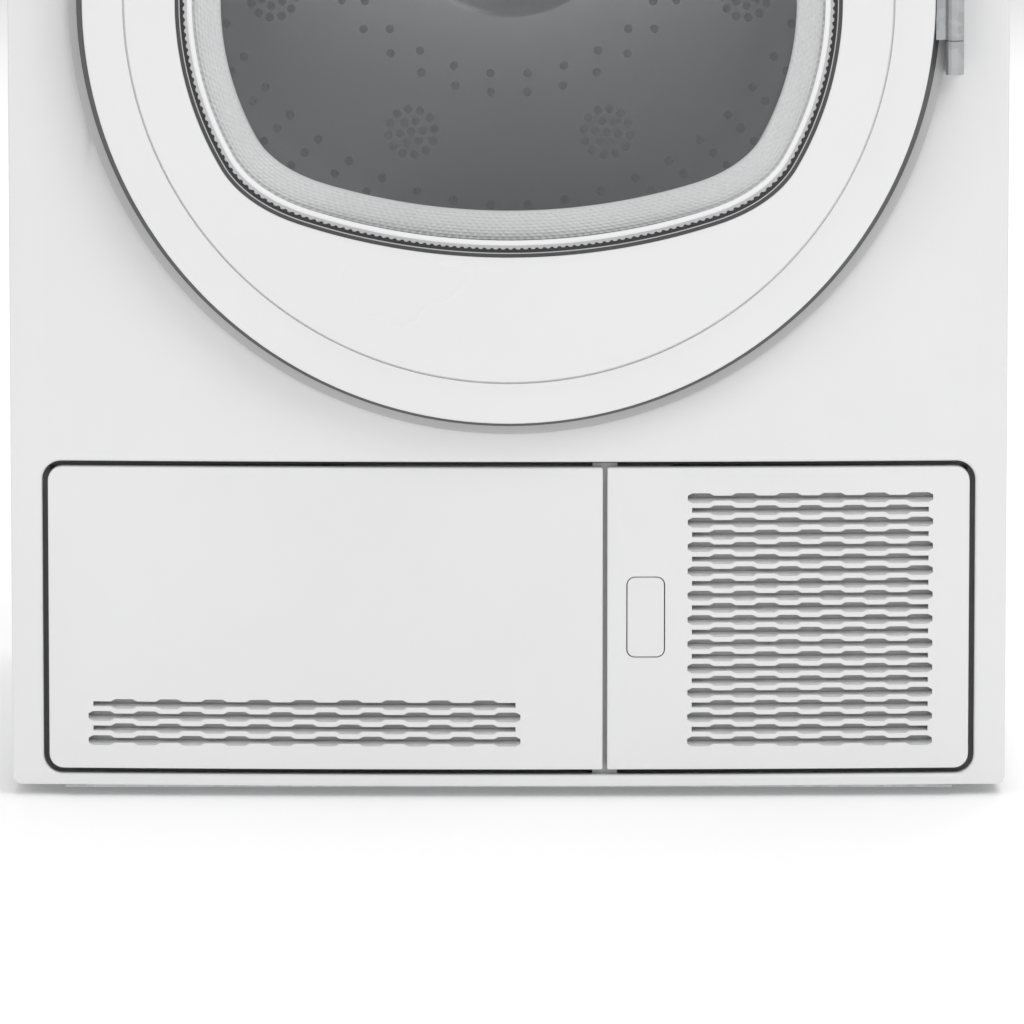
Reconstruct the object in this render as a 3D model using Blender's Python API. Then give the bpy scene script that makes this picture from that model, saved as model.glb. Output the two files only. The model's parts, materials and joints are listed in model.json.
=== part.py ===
"""Condenser tumble dryer: cabinet, door, drum drive, heat exchanger and water tank.

Metres, +Z up. The origin is on the floor under the middle of the cabinet. The front faces -Y.
"""
import math

import bmesh
import bpy
from mathutils import Matrix, Vector

# Cabinet
HALF_WIDTH = 0.2975
HEIGHT = 0.849
FRONT_EDGE_Y = -0.280
FRONT_BOW = 0.0085
FLAT_WIDTH = 0.074
REAR_Y = 0.292
SHEET = 0.001
GAP = 0.0005
RETURN_Y = -0.2645
PANEL_BOTTOM = 0.0072
PANEL_TOP = 0.741
FASCIA_BOTTOM = 0.744
FASCIA_TOP = 0.827
WORKTOP_BOTTOM = 0.829
FASCIA_WALL = 0.0025
FASCIA_SPLIT_X = -0.0505

# Plinth opening and its two covers
PLINTH_HALF = 0.2787
PLINTH_LOW = 0.014
PLINTH_HIGH = 0.2033
PLINTH_RADIUS = 0.0115
COVER_GAP = 0.0034
COVER_SPLIT_X = 0.0575
COVER_SPLIT_GAP = 0.0027
COVER_WALL = 0.0025
COVER_RADIUS = 0.0085
SLOT_PITCH = 0.00736
SLOT_HIGH = 0.0045
SLOT_ROWS_RIGHT = 21
SLOT_ROWS_LEFT = 4
SLOT_LOWEST_Z = 0.0344

# Door
DOOR_Z = 0.482
DOOR_SIDES = 56
DOOR_RADIUS = 0.252
DOOR_PARTING = 0.2275
DOOR_FRONT_Y = -0.320
RING_FRONT_Y = -0.3135
RING_REAR_Y = -0.2925
MOUTH_RADIUS = 0.2115
HINGE_X = 0.264
HINGE_Y = -0.2985
WINDOW_RADIUS = 0.197
WINDOW_DROP = 0.1517
WINDOW_ARC = 0.403

# Drum and its drive
DRUM_Z = 0.492
DRUM_RADIUS = 0.281
DRUM_FRONT_Y = -0.222
DRUM_REAR_Y = 0.266
DRUM_SIDES = 48
PADDLE_COUNT = 3
ROLLER_RADIUS = 0.0275
ROLLER_ANGLE = math.radians(32)
ROLLER_CLEAR = 0.0003
MOTOR_X = -0.135
MOTOR_Z = 0.105
PULLEY_RADIUS = 0.010
BELT_THICK = 0.002
BELT_CLEAR = 0.0013
BELT_Y = (-0.027, -0.017)
IDLER_RADIUS = 0.018
IDLER_ALONG = 0.080
IDLER_ARM = 0.055
FAN_RADIUS = 0.070
FAN_BLADES = 12

# Heat exchanger
DUCT_X = (0.070, 0.268)
DUCT_Z = (0.0165, 0.188)
DUCT_Y = (-0.245, 0.190)
DUCT_WALL = 0.002
CORE_CHANNELS = 8

# Levelling feet
FOOT_X = 0.245
FOOT_Y = (-0.215, 0.235)
FOOT_RADIUS = 0.021
FOOT_HIGH = 0.006
STEM_RADIUS = 0.005
STEM_TOP = 0.015

# cutters that pass through the bowed front, and through the back panel
FRONT_CUT_Y = (-0.30, -0.27)
REAR_CUT_Y = (0.28, 0.30)

# base; a box is given as its x, y and z pairs
TRAY_BOX = ((-0.2960, 0.2960), (-0.2620, 0.2905), (0.0065, 0.0550))
TRAY_INSIDE_BOX = ((-0.2940, 0.2940), (-0.2600, 0.2885), (0.0085, 0.0600))
BASE_LIP_BOX = ((-0.2660, 0.2660), (-0.2790, -0.2610), (0.0053, 0.0068))
IDLER_POST_BOX = ((-0.0120, 0.0080), (-0.0560, -0.0405), (0.0075, 0.1550))
CONDENSER_GAP_SIDE = 0.004
CONDENSER_GAP_Y = (-0.2630, -0.2590)
CONDENSER_GAP_Z = (0.0155, 0.0600)
FOOT_HOLE_CLEAR = 0.0006
FOOT_HOLE_Z = 0.008

# cabinet sheets
DOOR_HOLE_RADIUS = 0.216
HOOK_SLOT_X = (-0.2400, -0.2190)
HOOK_SLOT_Z = (0.468, 0.496)
SIDE_FRONT_Y = -0.2635
SIDE_Z = (0.012, 0.8275)
SIDE_FRONT_FLANGE = 0.013
SIDE_REAR_FLANGE = 0.017
BACK_BOX = ((-0.2930, 0.2930), (0.2923, 0.2935), SIDE_Z)
BEARING_HOLE_RADIUS = 0.0222
FAN_OUTLET_RADIUS = 0.062
AIR_HOLE_COUNT = 8
AIR_HOLE_REACH = 0.165
BACK_AIR_HOLE_RADIUS = 0.028
DRUM_AIR_HOLE_RADIUS = 0.020
GLAND_PLACE = (0.240, 0, 0.780)
GLAND_PROFILE = [(0.012, 0.2938), (0.012, 0.2975), (0.008, 0.306), (0.0045, 0.306), (0.0045, 0.2938)]

# rear air duct and heater
DUCT_COVER_RADIUS = 0.215
DUCT_COVER_WALL = 0.0015
DUCT_COVER_Y = (0.2940, 0.3200)
CHIMNEY_RIGHT = -0.055
CHIMNEY_LOW = 0.045
HEATER_RADIUS = 0.130
HEATER_TUBE = 0.004
HEATER_Y = 0.3070

# controls
CONTROL_Z = 0.786
DISPLAY_X = (0.075, 0.150)
DISPLAY_HALF_HIGH = 0.016
DISPLAY_Y = (-0.2862, -0.2842)
DISPLAY_CLEAR = 0.0004
BOARD_BOX = ((-0.030, 0.270), (-0.2600, -0.2584), (0.752, 0.820))
KNOB_X = 0.012
KNOB_HOLE_RADIUS = 0.0045
KNOB_PROFILE = [(0, -0.312), (0.0235, -0.312), (0.025, -0.3105), (0.025, -0.2905), (0.0036, -0.2905),
                (0.0036, -0.2625), (0, -0.2625)]
BUTTONS = (("option_button_1", 0.178, 0.0085), ("option_button_2", 0.207, 0.0085),
           ("start_button", 0.250, 0.0130))
BUTTON_CLEAR = 0.0005
BUTTON_PROUD = 0.0012
BUTTON_BACK_Y = -0.2670

# water tank
TANK_GRIP_X = (-0.215, -0.135)
TANK_GRIP_Z = (0.750, 0.776)
TANK_GRIP_RADIUS = 0.006
TANK_X = (-0.2840, -0.0540)
TANK_Y = (-0.2622, 0.1650)
TANK_Z = (0.7805, 0.8250)
TANK_WALL = 0.0025
TANK_SHELF_BOX = ((-0.2860, -0.0520), (-0.2585, 0.1700), (0.7765, 0.7795))

# plinth flap, its hinge and its latch
COVER_SPLIT_RADIUS = 0.0015
LEFT_SLOTS_X = (-0.2510, 0.0080)
RIGHT_SLOTS_X = (0.1080, 0.2520)
FLAP_AXIS = (0.2692, -0.2756, 0.1087)
FLAP_KNUCKLE_RADIUS = 0.004
FLAP_KNUCKLE_HIGH = 0.020
FLAP_KNUCKLE_LOWS = (0.030, 0.165)
LATCH_X = (0.0709, 0.0928)
LATCH_Z = (0.0859, 0.1337)
LATCH_CLEAR = 0.0005
LATCH_DEEP = 0.005

# bulkhead, mouth and lint filter
BULKHEAD_BOX = ((-0.2930, 0.2930), (-0.2380, -0.2365), (0.0560, 0.7750))
BULKHEAD_CUT_Y = (-0.25, -0.22)
BULKHEAD_HOLE_RADIUS = 0.2120
BULKHEAD_DUCT_CLEAR = 0.003
COLLAR_RADII = (0.2640, 0.2620)
COLLAR_Y = (-0.2375, -0.2050)
ROLLER_PIN_RADIUS = 0.0045
ROLLER_PIN_Y = (-0.2372, -0.1965)
MOUTH_OUTER_RADIUS = 0.2145
MOUTH_Y = (-0.2865, -0.2385)
POCKET_BOX = ((-0.0985, 0.0985), (-0.2632, -0.2428), (0.1900, 0.2800))
POCKET_INSIDE_BOX = ((-0.0965, 0.0965), (-0.2615, -0.2445), (0.1800, 0.3000))
POCKET_TRIM_RADIUS = 0.2130
FELT_RADII = (0.2788, 0.2645)
FELT_Y = (-0.2160, -0.2060)
FILTER_TOP_RADIUS = 0.2122
FILTER_HALF_ANGLE = 26.4
FILTER_LOW = 0.2000
FILTER_Y = (-0.2600, -0.2460)

# drum
DRUM_BACK_PROFILE = [(0, 0.2630), (0.2790, 0.2630), (0.2790, 0.2645), (0.030, 0.2645), (0.022, 0.2800),
                     (0.010, 0.2800), (0.010, 0.2985), (0, 0.2985)]
BEARING_RADII = (0.0215, 0.0105)
BEARING_Y = (0.2870, 0.2990)
PADDLE_OUTLINE = [(-0.032, -0.2762), (0.032, -0.2762), (0.016, -0.2400), (0.008, -0.2260), (-0.008, -0.2260),
                  (-0.016, -0.2400)]
PADDLE_Y = (-0.1950, 0.2550)
ROLLER_BORE = 0.0052
ROLLER_Y = (-0.2160, -0.1980)

# motor, fan and belt tension
MOTOR_RADIUS = 0.055
MOTOR_BORE = 0.0068
MOTOR_LONG_Y = (0.0200, 0.1300)
MOTOR_MOUNT_BOX = ((MOTOR_X - 0.045, MOTOR_X + 0.045), (0.030, 0.120), (0.0088, 0.0620))
SHAFT_PROFILE = [(0, -0.032), (0.0135, -0.032), (0.0135, -0.0295), (PULLEY_RADIUS, -0.0290),
                 (PULLEY_RADIUS, -0.0150), (0.0135, -0.0145), (0.0135, -0.0120), (0.0060, -0.0120),
                 (0.0060, 0.2800), (0, 0.2800)]
FAN_HUB_RADIUS = 0.022
FAN_BORE = 0.0066
FAN_Y = (0.2250, 0.2750)
HOUSING_PROFILE = [(0.045, 0.205), (0.085, 0.205), (0.085, 0.2875), (0.083, 0.2875), (0.083, 0.207),
                   (0.045, 0.207)]
IDLER_Y = (-0.0280, -0.0160)
IDLER_BELT_CLEAR = 0.0004
ARM_END_RADIUS = 0.009
ARM_Y = (-0.0400, -0.0370)
ARM_PIN_RADIUS = 0.0045
ARM_PIN_Y = (-0.0380, -0.0140)

# condenser
CORE_X = (0.078, 0.260)
CORE_Y = (-0.2320, 0.1300)
CORE_Z = (0.026, 0.180)
CORE_SIDE_WALL = 0.004
FRAME_Y = (-0.2445, -0.2335)
FRAME_INSIDE_BOX = ((0.090, 0.248), (-0.26, -0.22), (0.036, 0.170))
HANDLE_BOX = ((0.0895, 0.2485), (-0.2440, -0.2370), (0.094, 0.112))
LEVERS = ((0.083, 180), (0.255, 0))
LEVER_Z = 0.150
LEVER_REACH = 0.018
LEVER_RADII = (0.006, 0.004)
LEVER_Y = (-0.2495, -0.2450)

# door furniture
DOOR_WALL = 0.0025
PARTING_CLEAR = 0.0008
RING_INNER_WALL_Y = -0.2960
NOTCH_BOX = ((-0.265, -0.238), (-0.3095, -0.290), (0.440, 0.524))
PANE_CLEAR = 0.0007
PANE_Y = (-0.3175, -0.3145)
WINDOW_CUT_Y = (-0.34, -0.30)
BOWL_PROFILE = [(0, -0.2675), (0.148, -0.2675), (0.165, -0.2988), (0.185, -0.2988), (0.185, -0.2958),
                (0.168, -0.2958), (0.150, -0.2645), (0, -0.2645)]
INNER_FRAME_PROFILE = [(0.171, -0.2955), (0.2490, -0.2955), (0.2490, RING_REAR_Y), (0.205, RING_REAR_Y),
                       (0.205, -0.2645), (0.196, -0.2645), (0.196, RING_REAR_Y), (0.171, RING_REAR_Y)]
SEAL_RADII = (0.2095, 0.2055)
SEAL_Y = (-0.2915, -0.2800)
STRAP_Z = (0.4575, 0.5065)
STRAP_BOX = ((0.2150, 0.2640), (-0.2920, -0.2895), STRAP_Z)
STRAP_WEB_BOX = ((0.2530, 0.2640), (-0.2985, -0.2900), STRAP_Z)
KNUCKLE_RADIUS = 0.0055
BRACKET_KNUCKLE_HIGH = 0.020
BRACKET_LOWS = (("lower", 0.437), ("upper", 0.507))
BRACKET_BOX = ((0.2585, 0.2695), (-0.2850, -0.2822), (0.437, 0.527))
BRACKET_ARM_X = (0.2605, 0.2675)
BRACKET_ARM_Y = (-0.2985, -0.2840)
HOOK_BOX = ((-0.2345, -0.2235), (-0.2920, -0.2700), (0.4740, 0.4900))
CATCH_BOX = ((-0.2430, -0.2165), (-0.2790, -0.2600), (0.460, 0.504))
CATCH_POCKET_BOX = ((-0.2400, -0.2190), (-0.29, -0.2665), (0.468, 0.496))


def clear_scene():
    for obj in list(bpy.data.objects):
        bpy.data.objects.remove(obj, do_unlink=True)


def material(name, colour, roughness, metallic=0.0, alpha=1.0):
    found = bpy.data.materials.get(name)
    if found:
        return found
    made = bpy.data.materials.new(name)
    made.use_nodes = True
    shader = made.node_tree.nodes["Principled BSDF"]
    shader.inputs["Base Color"].default_value = (*colour, 1.0)
    shader.inputs["Roughness"].default_value = roughness
    shader.inputs["Metallic"].default_value = metallic
    shader.inputs["Alpha"].default_value = alpha
    made.diffuse_color = (*colour, alpha)
    return made


def enamel():
    return material("white_enamel", (0.80, 0.81, 0.82), 0.35)


def white_plastic():
    return material("white_plastic", (0.82, 0.83, 0.84), 0.42)


def grey_plastic():
    return material("grey_plastic", (0.30, 0.31, 0.32), 0.5)


def black_plastic():
    return material("black_plastic", (0.03, 0.03, 0.035), 0.4)


def galvanised():
    return material("galvanised_steel", (0.55, 0.56, 0.57), 0.4, 0.9)


def drum_steel():
    return material("drum_steel", (0.62, 0.62, 0.63), 0.28, 1.0)


def rubber():
    return material("black_rubber", (0.03, 0.03, 0.03), 0.85)


def aluminium():
    return material("exchanger_aluminium", (0.66, 0.67, 0.68), 0.35, 1.0)


def glass():
    return material("door_glass", (0.75, 0.78, 0.80), 0.05, 0.0, 0.35)


def clear_plastic():
    return material("smoked_window", (0.20, 0.21, 0.22), 0.1, 0.0, 0.5)


def mesh_object(name, bm, finish=None, origin=(0.0, 0.0, 0.0)):
    """Turn a world-space bmesh into an object whose own origin is the given point."""
    bmesh.ops.remove_doubles(bm, verts=bm.verts, dist=0.000001)
    bmesh.ops.recalc_face_normals(bm, faces=bm.faces)
    bmesh.ops.translate(bm, vec=-Vector(origin), verts=bm.verts)
    mesh = bpy.data.meshes.new(name)
    bm.to_mesh(mesh)
    bm.free()
    obj = bpy.data.objects.new(name, mesh)
    obj.location = origin
    bpy.context.scene.collection.objects.link(obj)
    if finish:
        mesh.materials.append(finish)
    return obj


def hide_tool(obj):
    obj.hide_render = True
    obj.display_type = "WIRE"


def boolean(obj, tool, operation):
    modifier = obj.modifiers.new(tool.name, "BOOLEAN")
    modifier.operation = operation
    modifier.solver = "EXACT"
    modifier.object = tool
    hide_tool(tool)


def cut(obj, tool):
    boolean(obj, tool, "DIFFERENCE")


def add(obj, tool):
    boolean(obj, tool, "UNION")


def slab(x, y, z, bm=None):
    """A box between the two values of each pair; added to bm when one is given."""
    bm = bm or bmesh.new()
    size = Vector((x[1] - x[0], y[1] - y[0], z[1] - z[0]))
    middle = Vector(((x[0] + x[1]) / 2, (y[0] + y[1]) / 2, (z[0] + z[1]) / 2))
    placed = Matrix.Translation(middle) @ Matrix.Diagonal((*size, 1.0))
    bmesh.ops.create_cube(bm, size=1.0, matrix=placed)
    return bm


def extruded(outline, start, end, axis="Y"):
    """Extrude a closed outline: (x, z) pairs along Y, or (x, y) pairs along Z."""
    bm = bmesh.new()
    along = Vector((0, end - start, 0)) if axis == "Y" else Vector((0, 0, end - start))
    corners = []
    for a, b in outline:
        place = (a, start, b) if axis == "Y" else (a, b, start)
        corners.append(bm.verts.new(place))
    face = bm.faces.new(corners)
    grown = bmesh.ops.extrude_face_region(bm, geom=[face])
    moved = [item for item in grown["geom"] if isinstance(item, bmesh.types.BMVert)]
    bmesh.ops.translate(bm, vec=along, verts=moved)
    return bm


def turned(profile, centre, sides, axis="Y", closed=True):
    """Spin a profile of (radius, along) pairs round an axis through centre.

    An open profile starts and ends on the axis.
    """
    bm = bmesh.new()
    points = []
    for radius, along in profile:
        place = (radius, along, 0) if axis == "Y" else (radius, 0, along)
        points.append(bm.verts.new(Vector(centre) + Vector(place)))
    edges = [bm.edges.new(pair) for pair in zip(points, points[1:])]
    if closed:
        edges.append(bm.edges.new((points[-1], points[0])))
    turn_axis = (0, 1, 0) if axis == "Y" else (0, 0, 1)
    bmesh.ops.spin(bm, geom=points + edges, cent=centre, axis=turn_axis, angle=math.tau,
                   steps=sides, use_merge=True)
    return bm


def pipe(outer, inner, y, centre_x, centre_z, sides):
    """A plain tube along Y."""
    profile = [(outer, y[0]), (outer, y[1]), (inner, y[1]), (inner, y[0])]
    return turned(profile, (centre_x, 0, centre_z), sides)


def rod(radius, y, centre_x, centre_z, sides):
    """A solid cylinder along Y."""
    profile = [(0, y[0]), (radius, y[0]), (radius, y[1]), (0, y[1])]
    return turned(profile, (centre_x, 0, centre_z), sides, closed=False)


def post(radius, z, centre_x, centre_y, sides):
    """A solid cylinder along Z."""
    profile = [(0, z[0]), (radius, z[0]), (radius, z[1]), (0, z[1])]
    return turned(profile, (centre_x, centre_y, 0), sides, axis="Z", closed=False)


def arc(centre, radius, start, end, steps):
    """Points on an arc, angles in degrees."""
    points = []
    for index in range(steps + 1):
        angle = math.radians(start + (end - start) * index / steps)
        points.append((centre[0] + radius * math.cos(angle), centre[1] + radius * math.sin(angle)))
    return points


def rounded_rectangle(x, z, radii, steps=4):
    """Corner radii run: low right, high right, high left, low left."""
    corners = ((x[1], z[0], -90, -1, 1), (x[1], z[1], 0, -1, -1),
               (x[0], z[1], 90, 1, -1), (x[0], z[0], 180, 1, 1))
    outline = []
    for (corner_x, corner_z, angle, side_x, side_z), radius in zip(corners, radii):
        centre = (corner_x + side_x * radius, corner_z + side_z * radius)
        outline += arc(centre, radius, angle, angle + 90, steps)
    return outline


def front_y(x):
    """The cabinet's front is a little fuller in the middle than at its sides."""
    return FRONT_EDGE_Y - FRONT_BOW * (1 - (x / HALF_WIDTH) ** 2)


def front_line(x0, x1, inward):
    """Points of the front's plan between two x values, moved back by inward."""
    steps = max(1, round((x1 - x0) / FLAT_WIDTH))
    points = []
    for index in range(steps + 1):
        x = x0 + (x1 - x0) * index / steps
        points.append((x, front_y(x) + inward))
    return points


def channel_plan(x0, x1, wall, back_y):
    """Plan of a bowed front wall with a return at each end."""
    outer = front_line(x0, x1, 0.0)
    inner = front_line(x0 + wall, x1 - wall, wall)
    return [(x0, back_y)] + outer + [(x1, back_y), (x1 - wall, back_y)] + inner[::-1] + [(x0 + wall, back_y)]


def bowed_cover(name, x, z, radii, finish, origin=(0.0, 0.0, 0.0)):
    """A cover plate that follows the bowed front, cut to a rounded outline."""
    plan = front_line(x[0], x[1], 0.0) + front_line(x[0], x[1], COVER_WALL)[::-1]
    cover = mesh_object(name, extruded(plan, z[0], z[1], axis="Z"), finish, origin)
    outline = rounded_rectangle(x, z, radii)
    shape = mesh_object(name + "_outline", extruded(outline, *FRONT_CUT_Y))
    boolean(cover, shape, "INTERSECT")
    return cover


def slot_rows(name, x, rows):
    """A cutter of level air slots, lowest first."""
    bm = bmesh.new()
    for row in range(rows):
        middle = SLOT_LOWEST_Z + row * SLOT_PITCH
        slab(x, FRONT_CUT_Y, (middle - SLOT_HIGH / 2, middle + SLOT_HIGH / 2), bm)
    return mesh_object(name, bm)


def ring_of_holes(radius, y, sides):
    """Cutters for the round air holes about the drum's axis."""
    bm = bmesh.new()
    turn = Matrix.Rotation(math.radians(90), 4, "X")
    for index in range(AIR_HOLE_COUNT):
        angle = math.tau * (index + 0.5) / AIR_HOLE_COUNT
        reach = Vector((math.cos(angle), 0, math.sin(angle))) * AIR_HOLE_REACH
        place = Matrix.Translation(Vector((0, y, DRUM_Z)) + reach)
        bmesh.ops.create_cone(bm, cap_ends=True, segments=sides, radius1=radius, radius2=radius,
                              depth=0.02, matrix=place @ turn)
    return bm


def make_base():
    tray = mesh_object("base_tray", slab(*TRAY_BOX), galvanised())
    add(tray, mesh_object("base_lip", slab(*BASE_LIP_BOX)))
    cut(tray, mesh_object("tray_inside", slab(*TRAY_INSIDE_BOX)))
    gap_x = (DUCT_X[0] - CONDENSER_GAP_SIDE, DUCT_X[1] + CONDENSER_GAP_SIDE)
    cut(tray, mesh_object("condenser_gap", slab(gap_x, CONDENSER_GAP_Y, CONDENSER_GAP_Z)))
    add(tray, mesh_object("idler_post", slab(*IDLER_POST_BOX)))
    holes = bmesh.new()
    for x in (-FOOT_X, FOOT_X):
        for y in FOOT_Y:
            radius = STEM_RADIUS + FOOT_HOLE_CLEAR
            bmesh.ops.create_cone(holes, cap_ends=True, segments=16, radius1=radius, radius2=radius,
                                  depth=0.02, matrix=Matrix.Translation((x, y, FOOT_HOLE_Z)))
    cut(tray, mesh_object("foot_holes", holes))


def make_feet():
    number = 0
    for x in (-FOOT_X, FOOT_X):
        for y in FOOT_Y:
            number += 1
            profile = [(0, 0), (FOOT_RADIUS, 0), (FOOT_RADIUS, FOOT_HIGH), (STEM_RADIUS, FOOT_HIGH),
                       (STEM_RADIUS, STEM_TOP), (0, STEM_TOP)]
            bm = turned(profile, (x, y, 0), 16, axis="Z", closed=False)
            mesh_object("levelling_foot_%d" % number, bm, black_plastic(), (x, y, 0))


def make_cabinet():
    plan = channel_plan(-HALF_WIDTH, HALF_WIDTH, SHEET, RETURN_Y)
    front = mesh_object("front_panel", extruded(plan, PANEL_BOTTOM, PANEL_TOP, axis="Z"), enamel())
    opening = rounded_rectangle((-PLINTH_HALF, PLINTH_HALF), (PLINTH_LOW, PLINTH_HIGH),
                                [PLINTH_RADIUS] * 4)
    cut(front, mesh_object("plinth_opening", extruded(opening, *FRONT_CUT_Y)))
    cut(front, mesh_object("door_hole", rod(DOOR_HOLE_RADIUS, FRONT_CUT_Y, 0, DOOR_Z, 64)))
    cut(front, mesh_object("hook_slot", slab(HOOK_SLOT_X, FRONT_CUT_Y, HOOK_SLOT_Z)))

    for name, side in (("left_side_panel", -1), ("right_side_panel", 1)):
        outer = side * HALF_WIDTH
        inner = side * (HALF_WIDTH - SHEET)
        front_flange = side * (HALF_WIDTH - SIDE_FRONT_FLANGE)
        rear_flange = side * (HALF_WIDTH - SIDE_REAR_FLANGE)
        plan = [(outer, SIDE_FRONT_Y), (outer, REAR_Y), (rear_flange, REAR_Y), (rear_flange, REAR_Y - SHEET),
                (inner, REAR_Y - SHEET), (inner, SIDE_FRONT_Y + SHEET), (front_flange, SIDE_FRONT_Y + SHEET),
                (front_flange, SIDE_FRONT_Y)]
        mesh_object(name, extruded(plan, *SIDE_Z, axis="Z"), enamel())

    back = mesh_object("back_panel", slab(*BACK_BOX), galvanised())
    cut(back, mesh_object("bearing_hole", rod(BEARING_HOLE_RADIUS, REAR_CUT_Y, 0, DRUM_Z, 24)))
    cut(back, mesh_object("fan_outlet", rod(FAN_OUTLET_RADIUS, REAR_CUT_Y, MOTOR_X, MOTOR_Z, 24)))
    air = ring_of_holes(BACK_AIR_HOLE_RADIUS, BACK_BOX[1][0], 12)
    cut(back, mesh_object("air_holes", air))

    plan = front_line(-HALF_WIDTH, HALF_WIDTH, 0.0)
    plan += [(HALF_WIDTH, BACK_BOX[1][1]), (-HALF_WIDTH, BACK_BOX[1][1])]
    mesh_object("top_panel", extruded(plan, WORKTOP_BOTTOM, HEIGHT, axis="Z"), enamel())
    mesh_object("cable_gland", turned(GLAND_PROFILE, GLAND_PLACE, 16), black_plastic())


def make_rear_duct():
    def outline(inset):
        radius = DUCT_COVER_RADIUS - inset
        left, right = -radius, CHIMNEY_RIGHT - inset
        end = -math.degrees(math.acos(right / radius))
        points = arc((0, DRUM_Z), radius, 180, end, 40)
        return points + [(right, CHIMNEY_LOW + inset), (left, CHIMNEY_LOW + inset)]

    cover = mesh_object("rear_duct_cover", extruded(outline(0.0), *DUCT_COVER_Y), galvanised())
    inside = extruded(outline(DUCT_COVER_WALL), DUCT_COVER_Y[0] - 0.004, DUCT_COVER_Y[1] - DUCT_COVER_WALL)
    cut(cover, mesh_object("rear_duct_inside", inside))
    section = arc((HEATER_RADIUS, HEATER_Y), HEATER_TUBE, 0, 288, 4)
    mesh_object("heater_element", turned(section, (0, 0, DRUM_Z), 24), galvanised())


def make_controls():
    plan = channel_plan(FASCIA_SPLIT_X + 0.001, HALF_WIDTH, FASCIA_WALL, RETURN_Y)
    fascia = mesh_object("control_fascia", extruded(plan, FASCIA_BOTTOM, FASCIA_TOP, axis="Z"),
                         white_plastic())
    window_z = (CONTROL_Z - DISPLAY_HALF_HIGH, CONTROL_Z + DISPLAY_HALF_HIGH)
    cut(fascia, mesh_object("display_hole", slab(DISPLAY_X, FRONT_CUT_Y, window_z)))
    pane_x = (DISPLAY_X[0] + DISPLAY_CLEAR, DISPLAY_X[1] - DISPLAY_CLEAR)
    pane_z = (window_z[0] + DISPLAY_CLEAR, window_z[1] - DISPLAY_CLEAR)
    mesh_object("display_window", slab(pane_x, DISPLAY_Y, pane_z), black_plastic())
    mesh_object("control_board", slab(*BOARD_BOX), material("circuit_board", (0.05, 0.20, 0.08), 0.5))

    cut(fascia, mesh_object("knob_hole", rod(KNOB_HOLE_RADIUS, FRONT_CUT_Y, KNOB_X, CONTROL_Z, 16)))
    knob_place = (KNOB_X, 0, CONTROL_Z)
    mesh_object("programme_knob", turned(KNOB_PROFILE, knob_place, 32, closed=False), white_plastic(),
                knob_place)
    for name, x, radius in BUTTONS:
        hole = rod(radius + BUTTON_CLEAR, FRONT_CUT_Y, x, CONTROL_Z, 24)
        cut(fascia, mesh_object(name + "_hole", hole))
        face = front_y(x) - BUTTON_PROUD
        button = rod(radius, (face, BUTTON_BACK_Y), x, CONTROL_Z, 24)
        mesh_object(name, button, white_plastic(), (x, face, CONTROL_Z))


def make_water_tank():
    plan = channel_plan(-HALF_WIDTH, FASCIA_SPLIT_X - 0.001, FASCIA_WALL, RETURN_Y)
    face = mesh_object("tank_front", extruded(plan, FASCIA_BOTTOM, FASCIA_TOP, axis="Z"), white_plastic())
    grip = rounded_rectangle(TANK_GRIP_X, TANK_GRIP_Z, [TANK_GRIP_RADIUS] * 4)
    cut(face, mesh_object("tank_grip", extruded(grip, *FRONT_CUT_Y)))
    tank = mesh_object("tank_body", slab(TANK_X, TANK_Y, TANK_Z), white_plastic())
    inside = slab((TANK_X[0] + TANK_WALL, TANK_X[1] - TANK_WALL),
                  (TANK_Y[0] + TANK_WALL, TANK_Y[1] - TANK_WALL), (TANK_Z[0] + TANK_WALL, TANK_Z[1] + 0.01))
    cut(tank, mesh_object("tank_inside", inside))
    mesh_object("tank_shelf", slab(*TANK_SHELF_BOX), grey_plastic())


def make_plinth():
    left_x = (-PLINTH_HALF + COVER_GAP, COVER_SPLIT_X - COVER_SPLIT_GAP / 2)
    right_x = (COVER_SPLIT_X + COVER_SPLIT_GAP / 2, PLINTH_HALF - COVER_GAP)
    z = (PLINTH_LOW + COVER_GAP, PLINTH_HIGH - COVER_GAP)
    small = COVER_SPLIT_RADIUS
    cover = bowed_cover("plinth_cover", left_x, z, [small, small, COVER_RADIUS, COVER_RADIUS],
                        white_plastic())
    cut(cover, slot_rows("left_slots", LEFT_SLOTS_X, SLOT_ROWS_LEFT))

    flap = bowed_cover("condenser_flap", right_x, z, [COVER_RADIUS, COVER_RADIUS, small, small],
                       white_plastic(), FLAP_AXIS)
    cut(flap, slot_rows("right_slots", RIGHT_SLOTS_X, SLOT_ROWS_RIGHT))
    hole = slab((LATCH_X[0] - LATCH_CLEAR, LATCH_X[1] + LATCH_CLEAR), FRONT_CUT_Y,
                (LATCH_Z[0] - LATCH_CLEAR, LATCH_Z[1] + LATCH_CLEAR))
    cut(flap, mesh_object("latch_hole", hole))
    knuckles = bmesh.new()
    for low in FLAP_KNUCKLE_LOWS:
        place = Matrix.Translation((FLAP_AXIS[0], FLAP_AXIS[1], low + FLAP_KNUCKLE_HIGH / 2))
        bmesh.ops.create_cone(knuckles, cap_ends=True, segments=12, radius1=FLAP_KNUCKLE_RADIUS,
                              radius2=FLAP_KNUCKLE_RADIUS, depth=FLAP_KNUCKLE_HIGH, matrix=place)
    add(flap, mesh_object("flap_knuckles", knuckles))
    middle_x, middle_z = sum(LATCH_X) / 2, sum(LATCH_Z) / 2
    face = front_y(middle_x)
    mesh_object("flap_latch", slab(LATCH_X, (face, face + LATCH_DEEP), LATCH_Z), white_plastic(),
                (middle_x, face, middle_z))


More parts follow.
